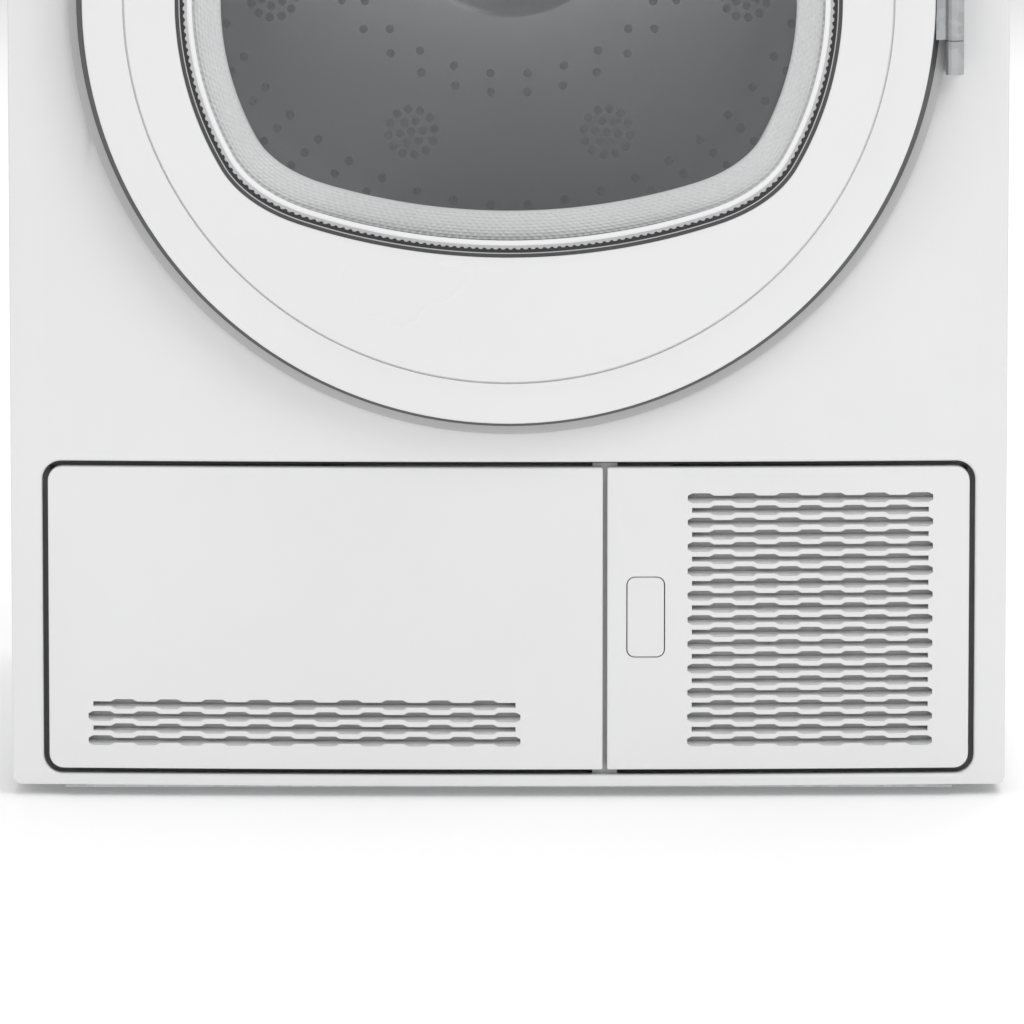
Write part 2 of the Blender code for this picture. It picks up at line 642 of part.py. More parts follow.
def make_mouth():
    plate = mesh_object("front_bulkhead", slab(*BULKHEAD_BOX), galvanised())
    collar = pipe(*COLLAR_RADII, COLLAR_Y, 0, DRUM_Z, DRUM_SIDES)
    add(plate, mesh_object("drum_collar", collar))
    hole = rod(BULKHEAD_HOLE_RADIUS, (-0.25, -0.19), 0, DOOR_Z, DRUM_SIDES)
    cut(plate, mesh_object("bulkhead_hole", hole))
    clear = BULKHEAD_DUCT_CLEAR
    around_duct = slab((DUCT_X[0] - clear, DUCT_X[1] + clear), BULKHEAD_CUT_Y,
                       (BULKHEAD_BOX[2][0] - 0.006, DUCT_Z[1] + clear))
    cut(plate, mesh_object("bulkhead_duct_gap", around_duct))
    for side, name in ((-1, "left"), (1, "right")):
        x, z = roller_place(side)
        add(plate, mesh_object("roller_pin_" + name, rod(ROLLER_PIN_RADIUS, ROLLER_PIN_Y, x, z, 12)))

    tube = pipe(MOUTH_OUTER_RADIUS, MOUTH_RADIUS, MOUTH_Y, 0, DOOR_Z, DRUM_SIDES)
    ring = mesh_object("mouth_ring", tube, grey_plastic())
    trim = mesh_object("filter_pocket", slab(*POCKET_BOX))
    cut(trim, mesh_object("pocket_trim", rod(POCKET_TRIM_RADIUS, (-0.30, -0.20), 0, DOOR_Z, DRUM_SIDES)))
    add(ring, trim)
    cut(ring, mesh_object("pocket_inside", slab(*POCKET_INSIDE_BOX)))
    felt = pipe(*FELT_RADII, FELT_Y, 0, DRUM_Z, DRUM_SIDES)
    mesh_object("drum_front_felt", felt, material("grey_felt", (0.35, 0.35, 0.36), 0.95))

    top = arc((0, DOOR_Z), FILTER_TOP_RADIUS, -90 - FILTER_HALF_ANGLE, -90 + FILTER_HALF_ANGLE, 12)
    outline = [(top[0][0], FILTER_LOW)] + top + [(top[-1][0], FILTER_LOW)]
    mesh_object("lint_filter", extruded(outline, *FILTER_Y), grey_plastic())


def roller_place(side):
    reach = DRUM_RADIUS + ROLLER_RADIUS + ROLLER_CLEAR
    return side * reach * math.sin(ROLLER_ANGLE), DRUM_Z - reach * math.cos(ROLLER_ANGLE)


def make_drum():
    centre = (0, 0, DRUM_Z)
    shell = pipe(DRUM_RADIUS, DRUM_RADIUS - SHEET, (DRUM_FRONT_Y, DRUM_REAR_Y), 0, DRUM_Z, DRUM_SIDES)
    mesh_object("drum_shell", shell, drum_steel(), centre)
    back = mesh_object("drum_back", turned(DRUM_BACK_PROFILE, centre, DRUM_SIDES, closed=False),
                       drum_steel(), centre)
    holes = ring_of_holes(DRUM_AIR_HOLE_RADIUS, DRUM_BACK_PROFILE[0][1], 8)
    cut(back, mesh_object("drum_back_holes", holes))
    mesh_object("rear_bearing", pipe(*BEARING_RADII, BEARING_Y, 0, DRUM_Z, 24), galvanised())

    for index in range(PADDLE_COUNT):
        bm = extruded(PADDLE_OUTLINE, *PADDLE_Y)
        angle = math.radians(180 + 360 * index / PADDLE_COUNT)
        bmesh.ops.rotate(bm, verts=bm.verts, cent=(0, 0, 0), matrix=Matrix.Rotation(angle, 3, "Y"))
        bmesh.ops.translate(bm, verts=bm.verts, vec=centre)
        mesh_object("drum_paddle_%d" % (index + 1), bm, white_plastic(), centre)

    for name, side in (("support_roller_left", -1), ("support_roller_right", 1)):
        x, z = roller_place(side)
        wheel = pipe(ROLLER_RADIUS, ROLLER_BORE, ROLLER_Y, x, z, 32)
        mesh_object(name, wheel, rubber(), (x, sum(ROLLER_Y) / 2, z))


def belt_line(grow):
    """The belt's outline round the drum and the motor pulley, in (x, z)."""
    big = DRUM_RADIUS + BELT_CLEAR
    small = PULLEY_RADIUS + BELT_CLEAR
    away = Vector((MOTOR_X, MOTOR_Z - DRUM_Z))
    heading = math.degrees(math.atan2(away.y, away.x))
    lean = math.degrees(math.acos((big - small) / away.length))
    around = arc((0, DRUM_Z), big + grow, heading + lean, heading - lean + 360, 48)
    return around + arc((MOTOR_X, MOTOR_Z), small + grow, heading - lean, heading + lean, 8)


def belt_tangent():
    """Where the lower run leaves the pulley, its direction, and its outward normal."""
    away = Vector((MOTOR_X, MOTOR_Z - DRUM_Z))
    lean = math.acos((DRUM_RADIUS - PULLEY_RADIUS) / away.length)
    angle = math.atan2(away.y, away.x) + lean
    normal = Vector((math.cos(angle), math.sin(angle)))
    start = Vector((MOTOR_X, MOTOR_Z)) + normal * (PULLEY_RADIUS + BELT_CLEAR)
    return start, Vector((-normal.y, normal.x)), normal


def make_drive():
    belt = mesh_object("drive_belt", extruded(belt_line(BELT_THICK), *BELT_Y), rubber())
    inside = extruded(belt_line(0.0), BELT_Y[0] - 0.01, BELT_Y[1] + 0.01)
    cut(belt, mesh_object("belt_inside", inside))

    motor = pipe(MOTOR_RADIUS, MOTOR_BORE, MOTOR_LONG_Y, MOTOR_X, MOTOR_Z, 24)
    body = mesh_object("motor_body", motor, galvanised())
    add(body, mesh_object("motor_mount", slab(*MOTOR_MOUNT_BOX)))
    centre = (MOTOR_X, 0, MOTOR_Z)
    mesh_object("rotor_shaft", turned(SHAFT_PROFILE, centre, 20, closed=False), galvanised(), centre)

    blades = []
    for index in range(FAN_BLADES):
        for radius, turn in ((FAN_HUB_RADIUS, 0.0), (FAN_RADIUS, 0.55), (FAN_RADIUS, 0.67),
                             (FAN_HUB_RADIUS, 0.35)):
            angle = math.tau * (index + turn) / FAN_BLADES
            blades.append((MOTOR_X + radius * math.cos(angle), MOTOR_Z + radius * math.sin(angle)))
    fan = mesh_object("process_fan", extruded(blades, *FAN_Y), grey_plastic(), centre)
    cut(fan, mesh_object("fan_bore", rod(FAN_BORE, (0.21, 0.29), MOTOR_X, MOTOR_Z, 20)))
    mesh_object("fan_housing", turned(HOUSING_PROFILE, centre, 24), grey_plastic())

    start, along, normal = belt_tangent()
    idler = start + along * IDLER_ALONG + normal * (BELT_THICK + IDLER_RADIUS + IDLER_BELT_CLEAR)
    pivot = idler + along * IDLER_ARM
    wheel = pipe(IDLER_RADIUS, ROLLER_BORE, IDLER_Y, idler.x, idler.y, 24)
    mesh_object("idler_pulley", wheel, grey_plastic(), (idler.x, sum(IDLER_Y) / 2, idler.y))
    heading = math.degrees(math.atan2(along.y, along.x))
    link = arc(pivot, ARM_END_RADIUS, heading - 90, heading + 90, 6)
    link += arc(idler, ARM_END_RADIUS, heading + 90, heading + 270, 6)
    arm = mesh_object("idler_arm", extruded(link, *ARM_Y), galvanised(), (pivot.x, sum(ARM_Y) / 2, pivot.y))
    add(arm, mesh_object("idler_pin", rod(ARM_PIN_RADIUS, ARM_PIN_Y, idler.x, idler.y, 12)))


def make_heat_exchanger():
    duct = mesh_object("condenser_duct", slab(DUCT_X, DUCT_Y, DUCT_Z), grey_plastic())
    inner_x = (DUCT_X[0] + DUCT_WALL, DUCT_X[1] - DUCT_WALL)
    inner_z = (DUCT_Z[0] + DUCT_WALL, DUCT_Z[1] - DUCT_WALL)
    cut(duct, mesh_object("duct_inside", slab(inner_x, (DUCT_Y[0] - 0.01, DUCT_Y[1] - DUCT_WALL), inner_z)))

    core = mesh_object("condenser_core", slab(CORE_X, CORE_Y, CORE_Z), aluminium())
    channels = bmesh.new()
    pitch = (CORE_Z[1] - CORE_Z[0]) / CORE_CHANNELS
    channel_x = (CORE_X[0] + CORE_SIDE_WALL, CORE_X[1] - CORE_SIDE_WALL)
    channel_y = (CORE_Y[0] - 0.018, CORE_Y[1] + 0.020)
    for index in range(CORE_CHANNELS):
        low = CORE_Z[0] + pitch * (index + 0.1)
        slab(channel_x, channel_y, (low, low + pitch * 0.8), channels)
    cut(core, mesh_object("core_channels", channels))

    frame_x = (inner_x[0] + GAP, inner_x[1] - GAP)
    frame_z = (inner_z[0] + GAP, inner_z[1] - GAP)
    rim = mesh_object("condenser_frame", slab(frame_x, FRAME_Y, frame_z), grey_plastic())
    cut(rim, mesh_object("condenser_frame_inside", slab(*FRAME_INSIDE_BOX)))
    add(rim, mesh_object("condenser_handle", slab(*HANDLE_BOX)))

    for number, (pivot_x, heading) in enumerate(LEVERS, start=1):
        reach = LEVER_REACH * math.cos(math.radians(heading))
        outline = arc((pivot_x, LEVER_Z), LEVER_RADII[0], heading + 90, heading + 270, 6)
        outline += arc((pivot_x + reach, LEVER_Z), LEVER_RADII[1], heading - 90, heading + 90, 6)
        mesh_object("condenser_lever_%d" % number, extruded(outline, *LEVER_Y),
                    material("grip_blue", (0.08, 0.22, 0.45), 0.4), (pivot_x, -0.2475, LEVER_Z))


def window_outline(inset):
    """A circle about the door's middle whose foot is cut off by a flatter arc."""
    radius = WINDOW_RADIUS - inset
    flat = WINDOW_ARC - inset
    rise = WINDOW_ARC - WINDOW_DROP
    meet_z = (radius ** 2 - flat ** 2 + rise ** 2) / (2 * rise)
    meet_x = math.sqrt(radius ** 2 - meet_z ** 2)
    side = math.degrees(math.atan2(meet_z, meet_x))
    outline = arc((0, DOOR_Z), radius, side, 180 - side, 40)
    lower = math.degrees(math.atan2(meet_z - rise, meet_x))
    return outline + arc((0, DOOR_Z + rise), flat, -180 - lower, lower, 16)[1:-1]


def make_door():
    axis = (HINGE_X, HINGE_Y, DOOR_Z)
    centre = (0, 0, DOOR_Z)
    wall = DOOR_WALL
    ring_inner = DOOR_PARTING + PARTING_CLEAR
    profile = [(DOOR_RADIUS, RING_REAR_Y), (DOOR_RADIUS, RING_FRONT_Y), (ring_inner, RING_FRONT_Y),
               (ring_inner, RING_INNER_WALL_Y), (ring_inner + wall, RING_INNER_WALL_Y),
               (ring_inner + wall, RING_FRONT_Y + wall), (DOOR_RADIUS - wall, RING_FRONT_Y + wall),
               (DOOR_RADIUS - wall, RING_REAR_Y)]
    ring = mesh_object("door_ring", turned(profile, centre, DOOR_SIDES), white_plastic(), axis)
    cut(ring, mesh_object("grip_notch", slab(*NOTCH_BOX)))

    rim = DOOR_PARTING - PARTING_CLEAR
    crown = (DOOR_FRONT_Y - RING_FRONT_Y) / (1 - (WINDOW_DROP / rim) ** 2)
    steps = [rim, (rim + WINDOW_DROP) / 2, WINDOW_DROP, 0.0]
    outer = [(r, RING_FRONT_Y + crown * (1 - (r / rim) ** 2)) for r in steps]
    inner = [(r, y + wall) for r, y in outer]
    cover = mesh_object("door_cover", turned(outer[::-1] + inner, centre, DOOR_SIDES, closed=False),
                        white_plastic(), axis)
    cut(cover, mesh_object("window_hole", extruded(window_outline(0.0), *WINDOW_CUT_Y)))
    mesh_object("door_window", extruded(window_outline(PANE_CLEAR), *PANE_Y), clear_plastic(), axis)

    mesh_object("door_bowl", turned(BOWL_PROFILE, centre, 36, closed=False), glass(), axis)
    mesh_object("door_inner_frame", turned(INNER_FRAME_PROFILE, centre, DRUM_SIDES), white_plastic(), axis)
    mesh_object("door_seal", pipe(*SEAL_RADII, SEAL_Y, 0, DOOR_Z, DRUM_SIDES), rubber(), axis)

    strap = mesh_object("door_hinge_strap", slab(*STRAP_BOX), galvanised(), axis)
    add(strap, mesh_object("strap_web", slab(*STRAP_WEB_BOX)))
    add(strap, mesh_object("strap_knuckle", post(KNUCKLE_RADIUS, STRAP_Z, HINGE_X, HINGE_Y, 16)))
    mesh_object("door_hook", slab(*HOOK_BOX), grey_plastic(), axis)

    bracket = mesh_object("door_hinge_bracket", slab(*BRACKET_BOX), galvanised())
    for name, low in BRACKET_LOWS:
        span = (low, low + BRACKET_KNUCKLE_HIGH)
        add(bracket, mesh_object("bracket_arm_" + name, slab(BRACKET_ARM_X, BRACKET_ARM_Y, span)))
        knuckle = post(KNUCKLE_RADIUS, span, HINGE_X, HINGE_Y, 16)
        add(bracket, mesh_object("bracket_knuckle_" + name, knuckle))
    catch = mesh_object("door_catch", slab(*CATCH_BOX), grey_plastic())
    cut(catch, mesh_object("catch_pocket", slab(*CATCH_POCKET_BOX)))


def main():
    clear_scene()
    make_base()
    make_feet()
    make_cabinet()
    make_rear_duct()
    make_controls()
    make_water_tank()
    make_plinth()
    make_mouth()
    make_drum()
    make_drive()
    make_heat_exchanger()
    make_door()


main()
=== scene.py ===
import json
import math

import bmesh
import bpy
from mathutils import Matrix, Vector


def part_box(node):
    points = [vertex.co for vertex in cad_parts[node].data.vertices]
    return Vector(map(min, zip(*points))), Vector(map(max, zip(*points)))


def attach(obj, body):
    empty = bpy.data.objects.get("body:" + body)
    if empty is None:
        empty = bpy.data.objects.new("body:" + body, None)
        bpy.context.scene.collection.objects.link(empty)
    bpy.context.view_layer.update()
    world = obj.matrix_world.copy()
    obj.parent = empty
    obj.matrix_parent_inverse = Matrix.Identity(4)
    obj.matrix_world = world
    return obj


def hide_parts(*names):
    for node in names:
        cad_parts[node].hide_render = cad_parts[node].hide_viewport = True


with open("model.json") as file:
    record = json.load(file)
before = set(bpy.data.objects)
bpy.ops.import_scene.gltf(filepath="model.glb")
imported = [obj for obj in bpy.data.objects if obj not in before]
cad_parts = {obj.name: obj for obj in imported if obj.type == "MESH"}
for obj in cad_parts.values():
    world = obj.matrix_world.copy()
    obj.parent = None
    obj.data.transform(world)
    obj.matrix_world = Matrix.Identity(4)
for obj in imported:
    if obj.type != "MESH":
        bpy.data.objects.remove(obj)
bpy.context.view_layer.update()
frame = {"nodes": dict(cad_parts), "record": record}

# where the cabinet's faces are, read from the frame
panelLow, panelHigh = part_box("front_panel")
topLow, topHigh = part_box("top_panel")
ringLow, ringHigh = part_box("door_ring")
halfWidth = float(panelHigh[0])
frontBow = 0.0085
frontEdgeY = float(panelLow[1]) + frontBow
doorZ = float(ringLow[2] + ringHigh[2]) / 2
drumZ = float(sum(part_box("drum_shell")[i][2] for i in (0, 1))) / 2


# small tools

def frontY(x):
    return frontEdgeY - frontBow * (1 - (x / halfWidth) ** 2)


def arcPoints(centre, radius, start, end, steps):
    points = []
    for i in range(steps + 1):
        angle = math.radians(start + (end - start) * i / steps)
        points.append((centre[0] + radius * math.cos(angle), centre[1] + radius * math.sin(angle)))
    return points


def roundedOutline(x, z, radii, grow=0.0, steps=8):
    # corners in the order low right, high right, high left, low left
    corners = ((x[1], z[0], -90, -1, 1), (x[1], z[1], 0, -1, -1),
               (x[0], z[1], 90, 1, -1), (x[0], z[0], 180, 1, 1))
    outline = []
    for (cornerX, cornerZ, angle, sideX, sideZ), radius in zip(corners, radii):
        centre = (cornerX + sideX * radius, cornerZ + sideZ * radius)
        outline += arcPoints(centre, radius + grow, angle, angle + 90, steps)
    return outline


def circleOutline(centre, radius, steps=48):
    return arcPoints(centre, radius, 0, 360 * (steps - 1) / steps, steps - 1)


def loopOfEdges(bm, outline, y):
    verts = [bm.verts.new((x, y, z)) for x, z in outline]
    return [bm.edges.new(pair) for pair in zip(verts, verts[1:] + verts[:1])]


def bridge(bm, loops):
    # joins each loop of edges to the next one; two loops never lie in one plane with one centre
    for first, second in zip(loops, loops[1:]):
        bmesh.ops.bridge_loops(bm, edges=first + second)


def loft(bm, rings):
    # a closed solid through rings of points, capped at both ends
    loops = []
    for ring in rings:
        verts = [bm.verts.new(point) for point in ring]
        loops.append([bm.edges.new(pair) for pair in zip(verts, verts[1:] + verts[:1])])
    bridge(bm, loops)
    for end in (loops[0], loops[-1]):
        bmesh.ops.contextual_create(bm, geom=end)


def rolledEdge(bm, outlineAt, radius, depth, y, steps=4):
    # a front edge that rolls back into a wall; outlineAt(grow) gives its outline
    loops = []
    for i in range(steps + 1):
        angle = math.pi / 2 * i / steps
        outline = outlineAt(radius * (1 - math.sin(angle)))
        loops.append(loopOfEdges(bm, outline, y + radius * (1 - math.cos(angle))))
    loops.append(loopOfEdges(bm, outlineAt(0.0), y + depth))
    bridge(bm, loops)
    return loops[0], loops[-1]


def fillFlat(bm, edges, facing):
    bmesh.ops.triangle_fill(bm, edges=edges, use_beauty=True, use_dissolve=False, normal=facing)


def bowToFront(bm, stripe=0.022):
    count = int(2 * halfWidth / stripe)
    for i in range(1, count):
        x = -halfWidth + 2 * halfWidth * i / count
        geom = bm.verts[:] + bm.edges[:] + bm.faces[:]
        bmesh.ops.bisect_plane(bm, geom=geom, plane_co=(x, 0, 0), plane_no=(1, 0, 0), dist=0.00001)
    for vert in bm.verts:
        vert.co.y -= frontBow * (1 - (vert.co.x / halfWidth) ** 2)


def addPiece(name, bm, finish, body, replaced=(), smooth=35, recalc=True):
    bmesh.ops.remove_doubles(bm, verts=bm.verts, dist=0.000002)
    if recalc:
        bmesh.ops.recalc_face_normals(bm, faces=bm.faces)
    mesh = bpy.data.meshes.new(name)
    bm.to_mesh(mesh)
    bm.free()
    mesh.shade_smooth()
    mesh.set_sharp_from_angle(angle=math.radians(smooth))
    mesh.materials.append(finish)
    piece = bpy.data.objects.new(name, mesh)
    bpy.context.scene.collection.objects.link(piece)
    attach(piece, body)
    if replaced:
        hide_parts(*replaced)
    return piece


def thicken(piece, thickness, offset=-1):
    wall = piece.modifiers.new("wall", "SOLIDIFY")
    wall.thickness = thickness
    wall.offset = offset
    return piece


def spinProfile(bm, profile, centre, sides, axis="y", closed=True):
    # profile is (radius, along) pairs; an open one starts and ends on the axis
    verts = []
    for radius, along in profile:
        place = Vector((radius, along, 0)) if axis == "y" else Vector((radius, 0, along))
        verts.append(bm.verts.new(Vector(centre) + place))
    edges = [bm.edges.new(pair) for pair in zip(verts, verts[1:])]
    if closed:
        edges.append(bm.edges.new((verts[-1], verts[0])))
    turnAxis = (0, 1, 0) if axis == "y" else (0, 0, 1)
    bmesh.ops.spin(bm, geom=verts + edges, cent=centre, axis=turnAxis, angle=math.tau,
                   steps=sides, use_merge=True)


def addBlock(bm, x, y, z, bevel=0.0, segments=2):
    size = Vector((x[1] - x[0], y[1] - y[0], z[1] - z[0]))
    middle = Vector(((x[0] + x[1]) / 2, (y[0] + y[1]) / 2, (z[0] + z[1]) / 2))
    place = Matrix.Translation(middle) @ Matrix.Diagonal((*size, 1))
    made = bmesh.ops.create_cube(bm, size=1.0, matrix=place)
    if bevel:
        edges = list({edge for vert in made["verts"] for edge in vert.link_edges})
        bmesh.ops.bevel(bm, geom=edges, offset=bevel, offset_type="OFFSET", segments=segments,
                        profile=0.5, affect="EDGES", material=-1)


def addPin(bm, start, end, radius, sides=16, bevel=0.0):
    along = Vector(end) - Vector(start)
    turn = Vector((0, 0, 1)).rotation_difference(along).to_matrix().to_4x4()
    place = Matrix.Translation((Vector(start) + Vector(end)) / 2) @ turn
    made = bmesh.ops.create_cone(bm, cap_ends=True, segments=sides, radius1=radius, radius2=radius,
                                 depth=along.length, matrix=place)
    if bevel:
        heading = along.normalized()
        rims = list({edge for vert in made["verts"] for edge in vert.link_edges
                     if abs((edge.verts[0].co - edge.verts[1].co).normalized().dot(heading)) < 0.5})
        bmesh.ops.bevel(bm, geom=rims, offset=bevel, offset_type="OFFSET", segments=2,
                        profile=0.5, affect="EDGES", material=-1)


# materials

finishes = {
    "enamel": {"colour": (0.80, 0.80, 0.805), "shade": 0.015, "roughness": 0.32, "peel": 420, "bump": 0.012,
               "coat": 0.25},
    "worktopLaminate": {"colour": (0.80, 0.80, 0.80), "shade": 0.02, "roughness": 0.45, "peel": 1400,
                        "bump": 0.05},
    "whitePlastic": {"colour": (0.805, 0.805, 0.81), "shade": 0.012, "roughness": 0.38, "peel": 900,
                     "bump": 0.018},
    "doorWhite": {"colour": (0.81, 0.81, 0.815), "shade": 0.010, "roughness": 0.28, "peel": 700,
                  "bump": 0.010, "coat": 0.2},
    "greyPlastic": {"colour": (0.26, 0.27, 0.28), "shade": 0.06, "roughness": 0.5, "peel": 900, "bump": 0.05},
    # screenShadeGrey: the dust screens' grey, set to stand in for the shade seen through the grille slots
    # (painted shade)
    "screenShadeGrey": {"colour": (0.60, 0.60, 0.605), "shade": 0.10, "roughness": 0.7, "peel": 1600,
                   "bump": 0.10},
    # gapShadeGrey: painted shade for the gaps round the plinth covers and under the worktop
    "gapShadeGrey": {"colour": (0.32, 0.32, 0.325), "shade": 0.08, "roughness": 0.6, "peel": 900, "bump": 0.03},
    "blackPlastic": {"colour": (0.022, 0.022, 0.024), "shade": 0.15, "roughness": 0.38, "peel": 1000,
                     "bump": 0.03},
    "darkTrim": {"colour": (0.060, 0.060, 0.062), "shade": 0.10, "roughness": 0.35, "peel": 1000,
                 "bump": 0.02},
    "paleTrim": {"colour": (0.52, 0.52, 0.53), "shade": 0.04, "roughness": 0.3, "peel": 900, "bump": 0.02},
    "brightTrim": {"colour": (0.86, 0.86, 0.865), "shade": 0.01, "roughness": 0.3, "peel": 900, "bump": 0.01},
    # shadowSealDark and shadowSealGrey: painted shadow round the door's edge, on the ring seal, its lip and
    # its skirt
    "shadowSealDark": {"colour": (0.100, 0.100, 0.102), "shade": 0.1, "roughness": 0.6, "peel": 900, "bump": 0.03},
    "shadowSealGrey": {"colour": (0.46, 0.46, 0.465), "shade": 0.06, "roughness": 0.55, "peel": 900, "bump": 0.03},
    # splitShadeGrey: painted shade in the split between the two covers
    "splitShadeGrey": {"colour": (0.62, 0.62, 0.625), "shade": 0.04, "roughness": 0.5, "peel": 900, "bump": 0.03},
    "beadWhite": {"colour": (0.74, 0.74, 0.745), "shade": 0.04, "roughness": 0.3, "peel": 900, "bump": 0.02},
    "rubber": {"colour": (0.035, 0.035, 0.036), "shade": 0.15, "roughness": 0.8, "peel": 700, "bump": 0.12},
    "gripBlue": {"colour": (0.06, 0.19, 0.42), "shade": 0.06, "roughness": 0.42, "peel": 900, "bump": 0.04},
    "greyMark": {"colour": (0.22, 0.22, 0.23), "shade": 0.05, "roughness": 0.5, "peel": 900, "bump": 0.02},
    "felt": {"colour": (0.30, 0.30, 0.31), "shade": 0.25, "roughness": 0.95, "peel": 300, "bump": 0.6},
    "circuitBoard": {"colour": (0.03, 0.14, 0.06), "shade": 0.15, "roughness": 0.45, "peel": 500,
                     "bump": 0.1},
    "motorIron": {"colour": (0.16, 0.16, 0.17), "shade": 0.2, "roughness": 0.55, "peel": 350, "bump": 0.25,
                  "metallic": 0.6},
    "zincSteel": {"colour": (0.50, 0.51, 0.52), "shade": 0.07, "roughness": 0.38, "peel": 170, "bump": 0.03,
                  "metallic": 0.9, "spangle": True},
    "darkSteel": {"colour": (0.30, 0.28, 0.27), "shade": 0.25, "roughness": 0.45, "peel": 220, "bump": 0.08,
                  "metallic": 0.8},
    "finAluminium": {"colour": (0.62, 0.63, 0.64), "shade": 0.12, "roughness": 0.35, "peel": 300,
                     "bump": 0.08, "metallic": 0.9},
    "copper": {"colour": (0.50, 0.22, 0.09), "shade": 0.2, "roughness": 0.42, "peel": 240, "bump": 0.3,
               "metallic": 0.8},
    "drumSteel": {"colour": (0.66, 0.66, 0.67), "shade": 0.07, "roughness": 0.26, "peel": 260, "bump": 0.03,
                  "metallic": 1.0},
}


def addNode(tree, kind, place, **values):
    node = tree.nodes.new(kind)
    node.location = place
    for key, value in values.items():
        node.inputs[key.replace("_", " ")].default_value = value
    return node


def makeFinish(name, look):
    finish = bpy.data.materials.new(name)
    finish.use_nodes = True
    tree = finish.node_tree
    shader = tree.nodes["Principled BSDF"]
    shader.inputs["Metallic"].default_value = look.get("metallic", 0.0)
    shader.inputs["Coat Weight"].default_value = look.get("coat", 0.0)
    coords = addNode(tree, "ShaderNodeTexCoord", (-1100, 0))
    cloud = addNode(tree, "ShaderNodeTexNoise", (-850, 200), Scale=7.0, Detail=4.0)
    tree.links.new(coords.outputs["Object"], cloud.inputs["Vector"])
    if look.get("spangle"):
        cloud = addNode(tree, "ShaderNodeTexVoronoi", (-850, 200), Scale=look["peel"])
        tree.links.new(coords.outputs["Object"], cloud.inputs["Vector"])
    tint = addNode(tree, "ShaderNodeValToRGB", (-600, 200))
    shade = look["shade"]
    for stop, change in zip(tint.color_ramp.elements, (1 - shade, 1 + shade)):
        stop.color = (*(min(1.0, part * change) for part in look["colour"]), 1)
    tint.color_ramp.elements[0].position = 0.3
    tint.color_ramp.elements[1].position = 0.7
    source = cloud.outputs["Color"] if look.get("spangle") else cloud.outputs["Fac"]
    tree.links.new(source, tint.inputs["Fac"])
    tree.links.new(tint.outputs["Color"], shader.inputs["Base Color"])
    wear = addNode(tree, "ShaderNodeMapRange", (-600, -60))
    wear.inputs["To Min"].default_value = look["roughness"] * 0.9
    wear.inputs["To Max"].default_value = min(1.0, look["roughness"] * 1.12)
    tree.links.new(cloud.outputs[0], wear.inputs["Value"])
    tree.links.new(wear.outputs["Result"], shader.inputs["Roughness"])
    grain = addNode(tree, "ShaderNodeTexNoise", (-850, -320), Scale=look["peel"], Detail=3.0)
    tree.links.new(coords.outputs["Object"], grain.inputs["Vector"])
    bump = addNode(tree, "ShaderNodeBump", (-300, -320), Strength=look["bump"], Distance=0.001)
    tree.links.new(grain.outputs["Fac"], bump.inputs["Height"])
    tree.links.new(bump.outputs["Normal"], shader.inputs["Normal"])
    return finish


def makeGlass(name, colour, roughness, clear, grain):
    finish = bpy.data.materials.new(name)
    finish.use_nodes = True
    tree = finish.node_tree
    shader = tree.nodes["Principled BSDF"]
    shader.inputs["Base Color"].default_value = (*colour, 1)
    shader.inputs["Alpha"].default_value = clear
    shader.inputs["IOR"].default_value = 1.45
    coords = addNode(tree, "ShaderNodeTexCoord", (-900, 0))
    smear = addNode(tree, "ShaderNodeTexNoise", (-650, 0), Scale=grain, Detail=3.0)
    tree.links.new(coords.outputs["Object"], smear.inputs["Vector"])
    spread = addNode(tree, "ShaderNodeMapRange", (-400, 0))
    spread.inputs["To Min"].default_value = roughness * 0.6
    spread.inputs["To Max"].default_value = roughness * 1.4
    tree.links.new(smear.outputs["Fac"], spread.inputs["Value"])
    tree.links.new(spread.outputs["Result"], shader.inputs["Roughness"])
    return finish


made = {name: makeFinish(name, look) for name, look in finishes.items()}
made["windowPane"] = makeGlass("windowPane", (0.40, 0.41, 0.42), 0.02, 0.08, 30)
glossLook = {"colour": (0.012, 0.012, 0.014), "shade": 0.1, "roughness": 0.07, "peel": 500, "bump": 0.004,
             "coat": 0.5}
made["blackGloss"] = makeFinish("blackGloss", glossLook)
made["bowlGlass"] = makeGlass("bowlGlass", (0.45, 0.47, 0.47), 0.03, 0.10, 24)
print("materials", len(made))


# camera, light and floor

view = {"place": (0.00194, -6.449, 1.0942), "pitch": 8.5, "lens": 367.0, "sensor": 36.0}


def setCamera():
    camera = bpy.data.cameras.new("camera")
    camera.lens = view["lens"]
    camera.sensor_width = view["sensor"]
    camera.clip_end = 60
    holder = bpy.data.objects.new("camera", camera)
    holder.location = view["place"]
    holder.rotation_euler = (math.radians(90 - view["pitch"]), 0, 0)
    bpy.context.scene.collection.objects.link(holder)
    bpy.context.scene.camera = holder


lights = (
    {"name": "keyLight", "place": (1.6, -3.2, 3.4), "size": 2.6, "power": 58},
    {"name": "fillLight", "place": (-2.6, -3.0, 1.8), "size": 2.4, "power": 16},
    {"name": "topLight", "place": (0.0, 0.2, 3.6), "size": 3.0, "power": 36},
    {"name": "backLight", "place": (0.6, 3.4, 2.6), "size": 2.6, "power": 45},
)
skyStrength = 0.515
floorGlow = 0.16


def setLights():
    for light in lights:
        lamp = bpy.data.lights.new(light["name"], "AREA")
        lamp.shape = "DISK"
        lamp.size = light["size"]
        lamp.energy = light["power"]
        holder = bpy.data.objects.new(light["name"], lamp)
        holder.location = light["place"]
        towards = Vector((0, 0, 0.4)) - Vector(light["place"])
        holder.rotation_euler = towards.to_track_quat("-Z", "Y").to_euler()
        bpy.context.scene.collection.objects.link(holder)
    world = bpy.data.worlds.new("studio")
    world.use_nodes = True
    world.node_tree.nodes["Background"].inputs["Color"].default_value = (1, 1, 1, 1)
    world.node_tree.nodes["Background"].inputs["Strength"].default_value = skyStrength
    bpy.context.scene.world = world
    bpy.context.scene.view_settings.view_transform = "Standard"


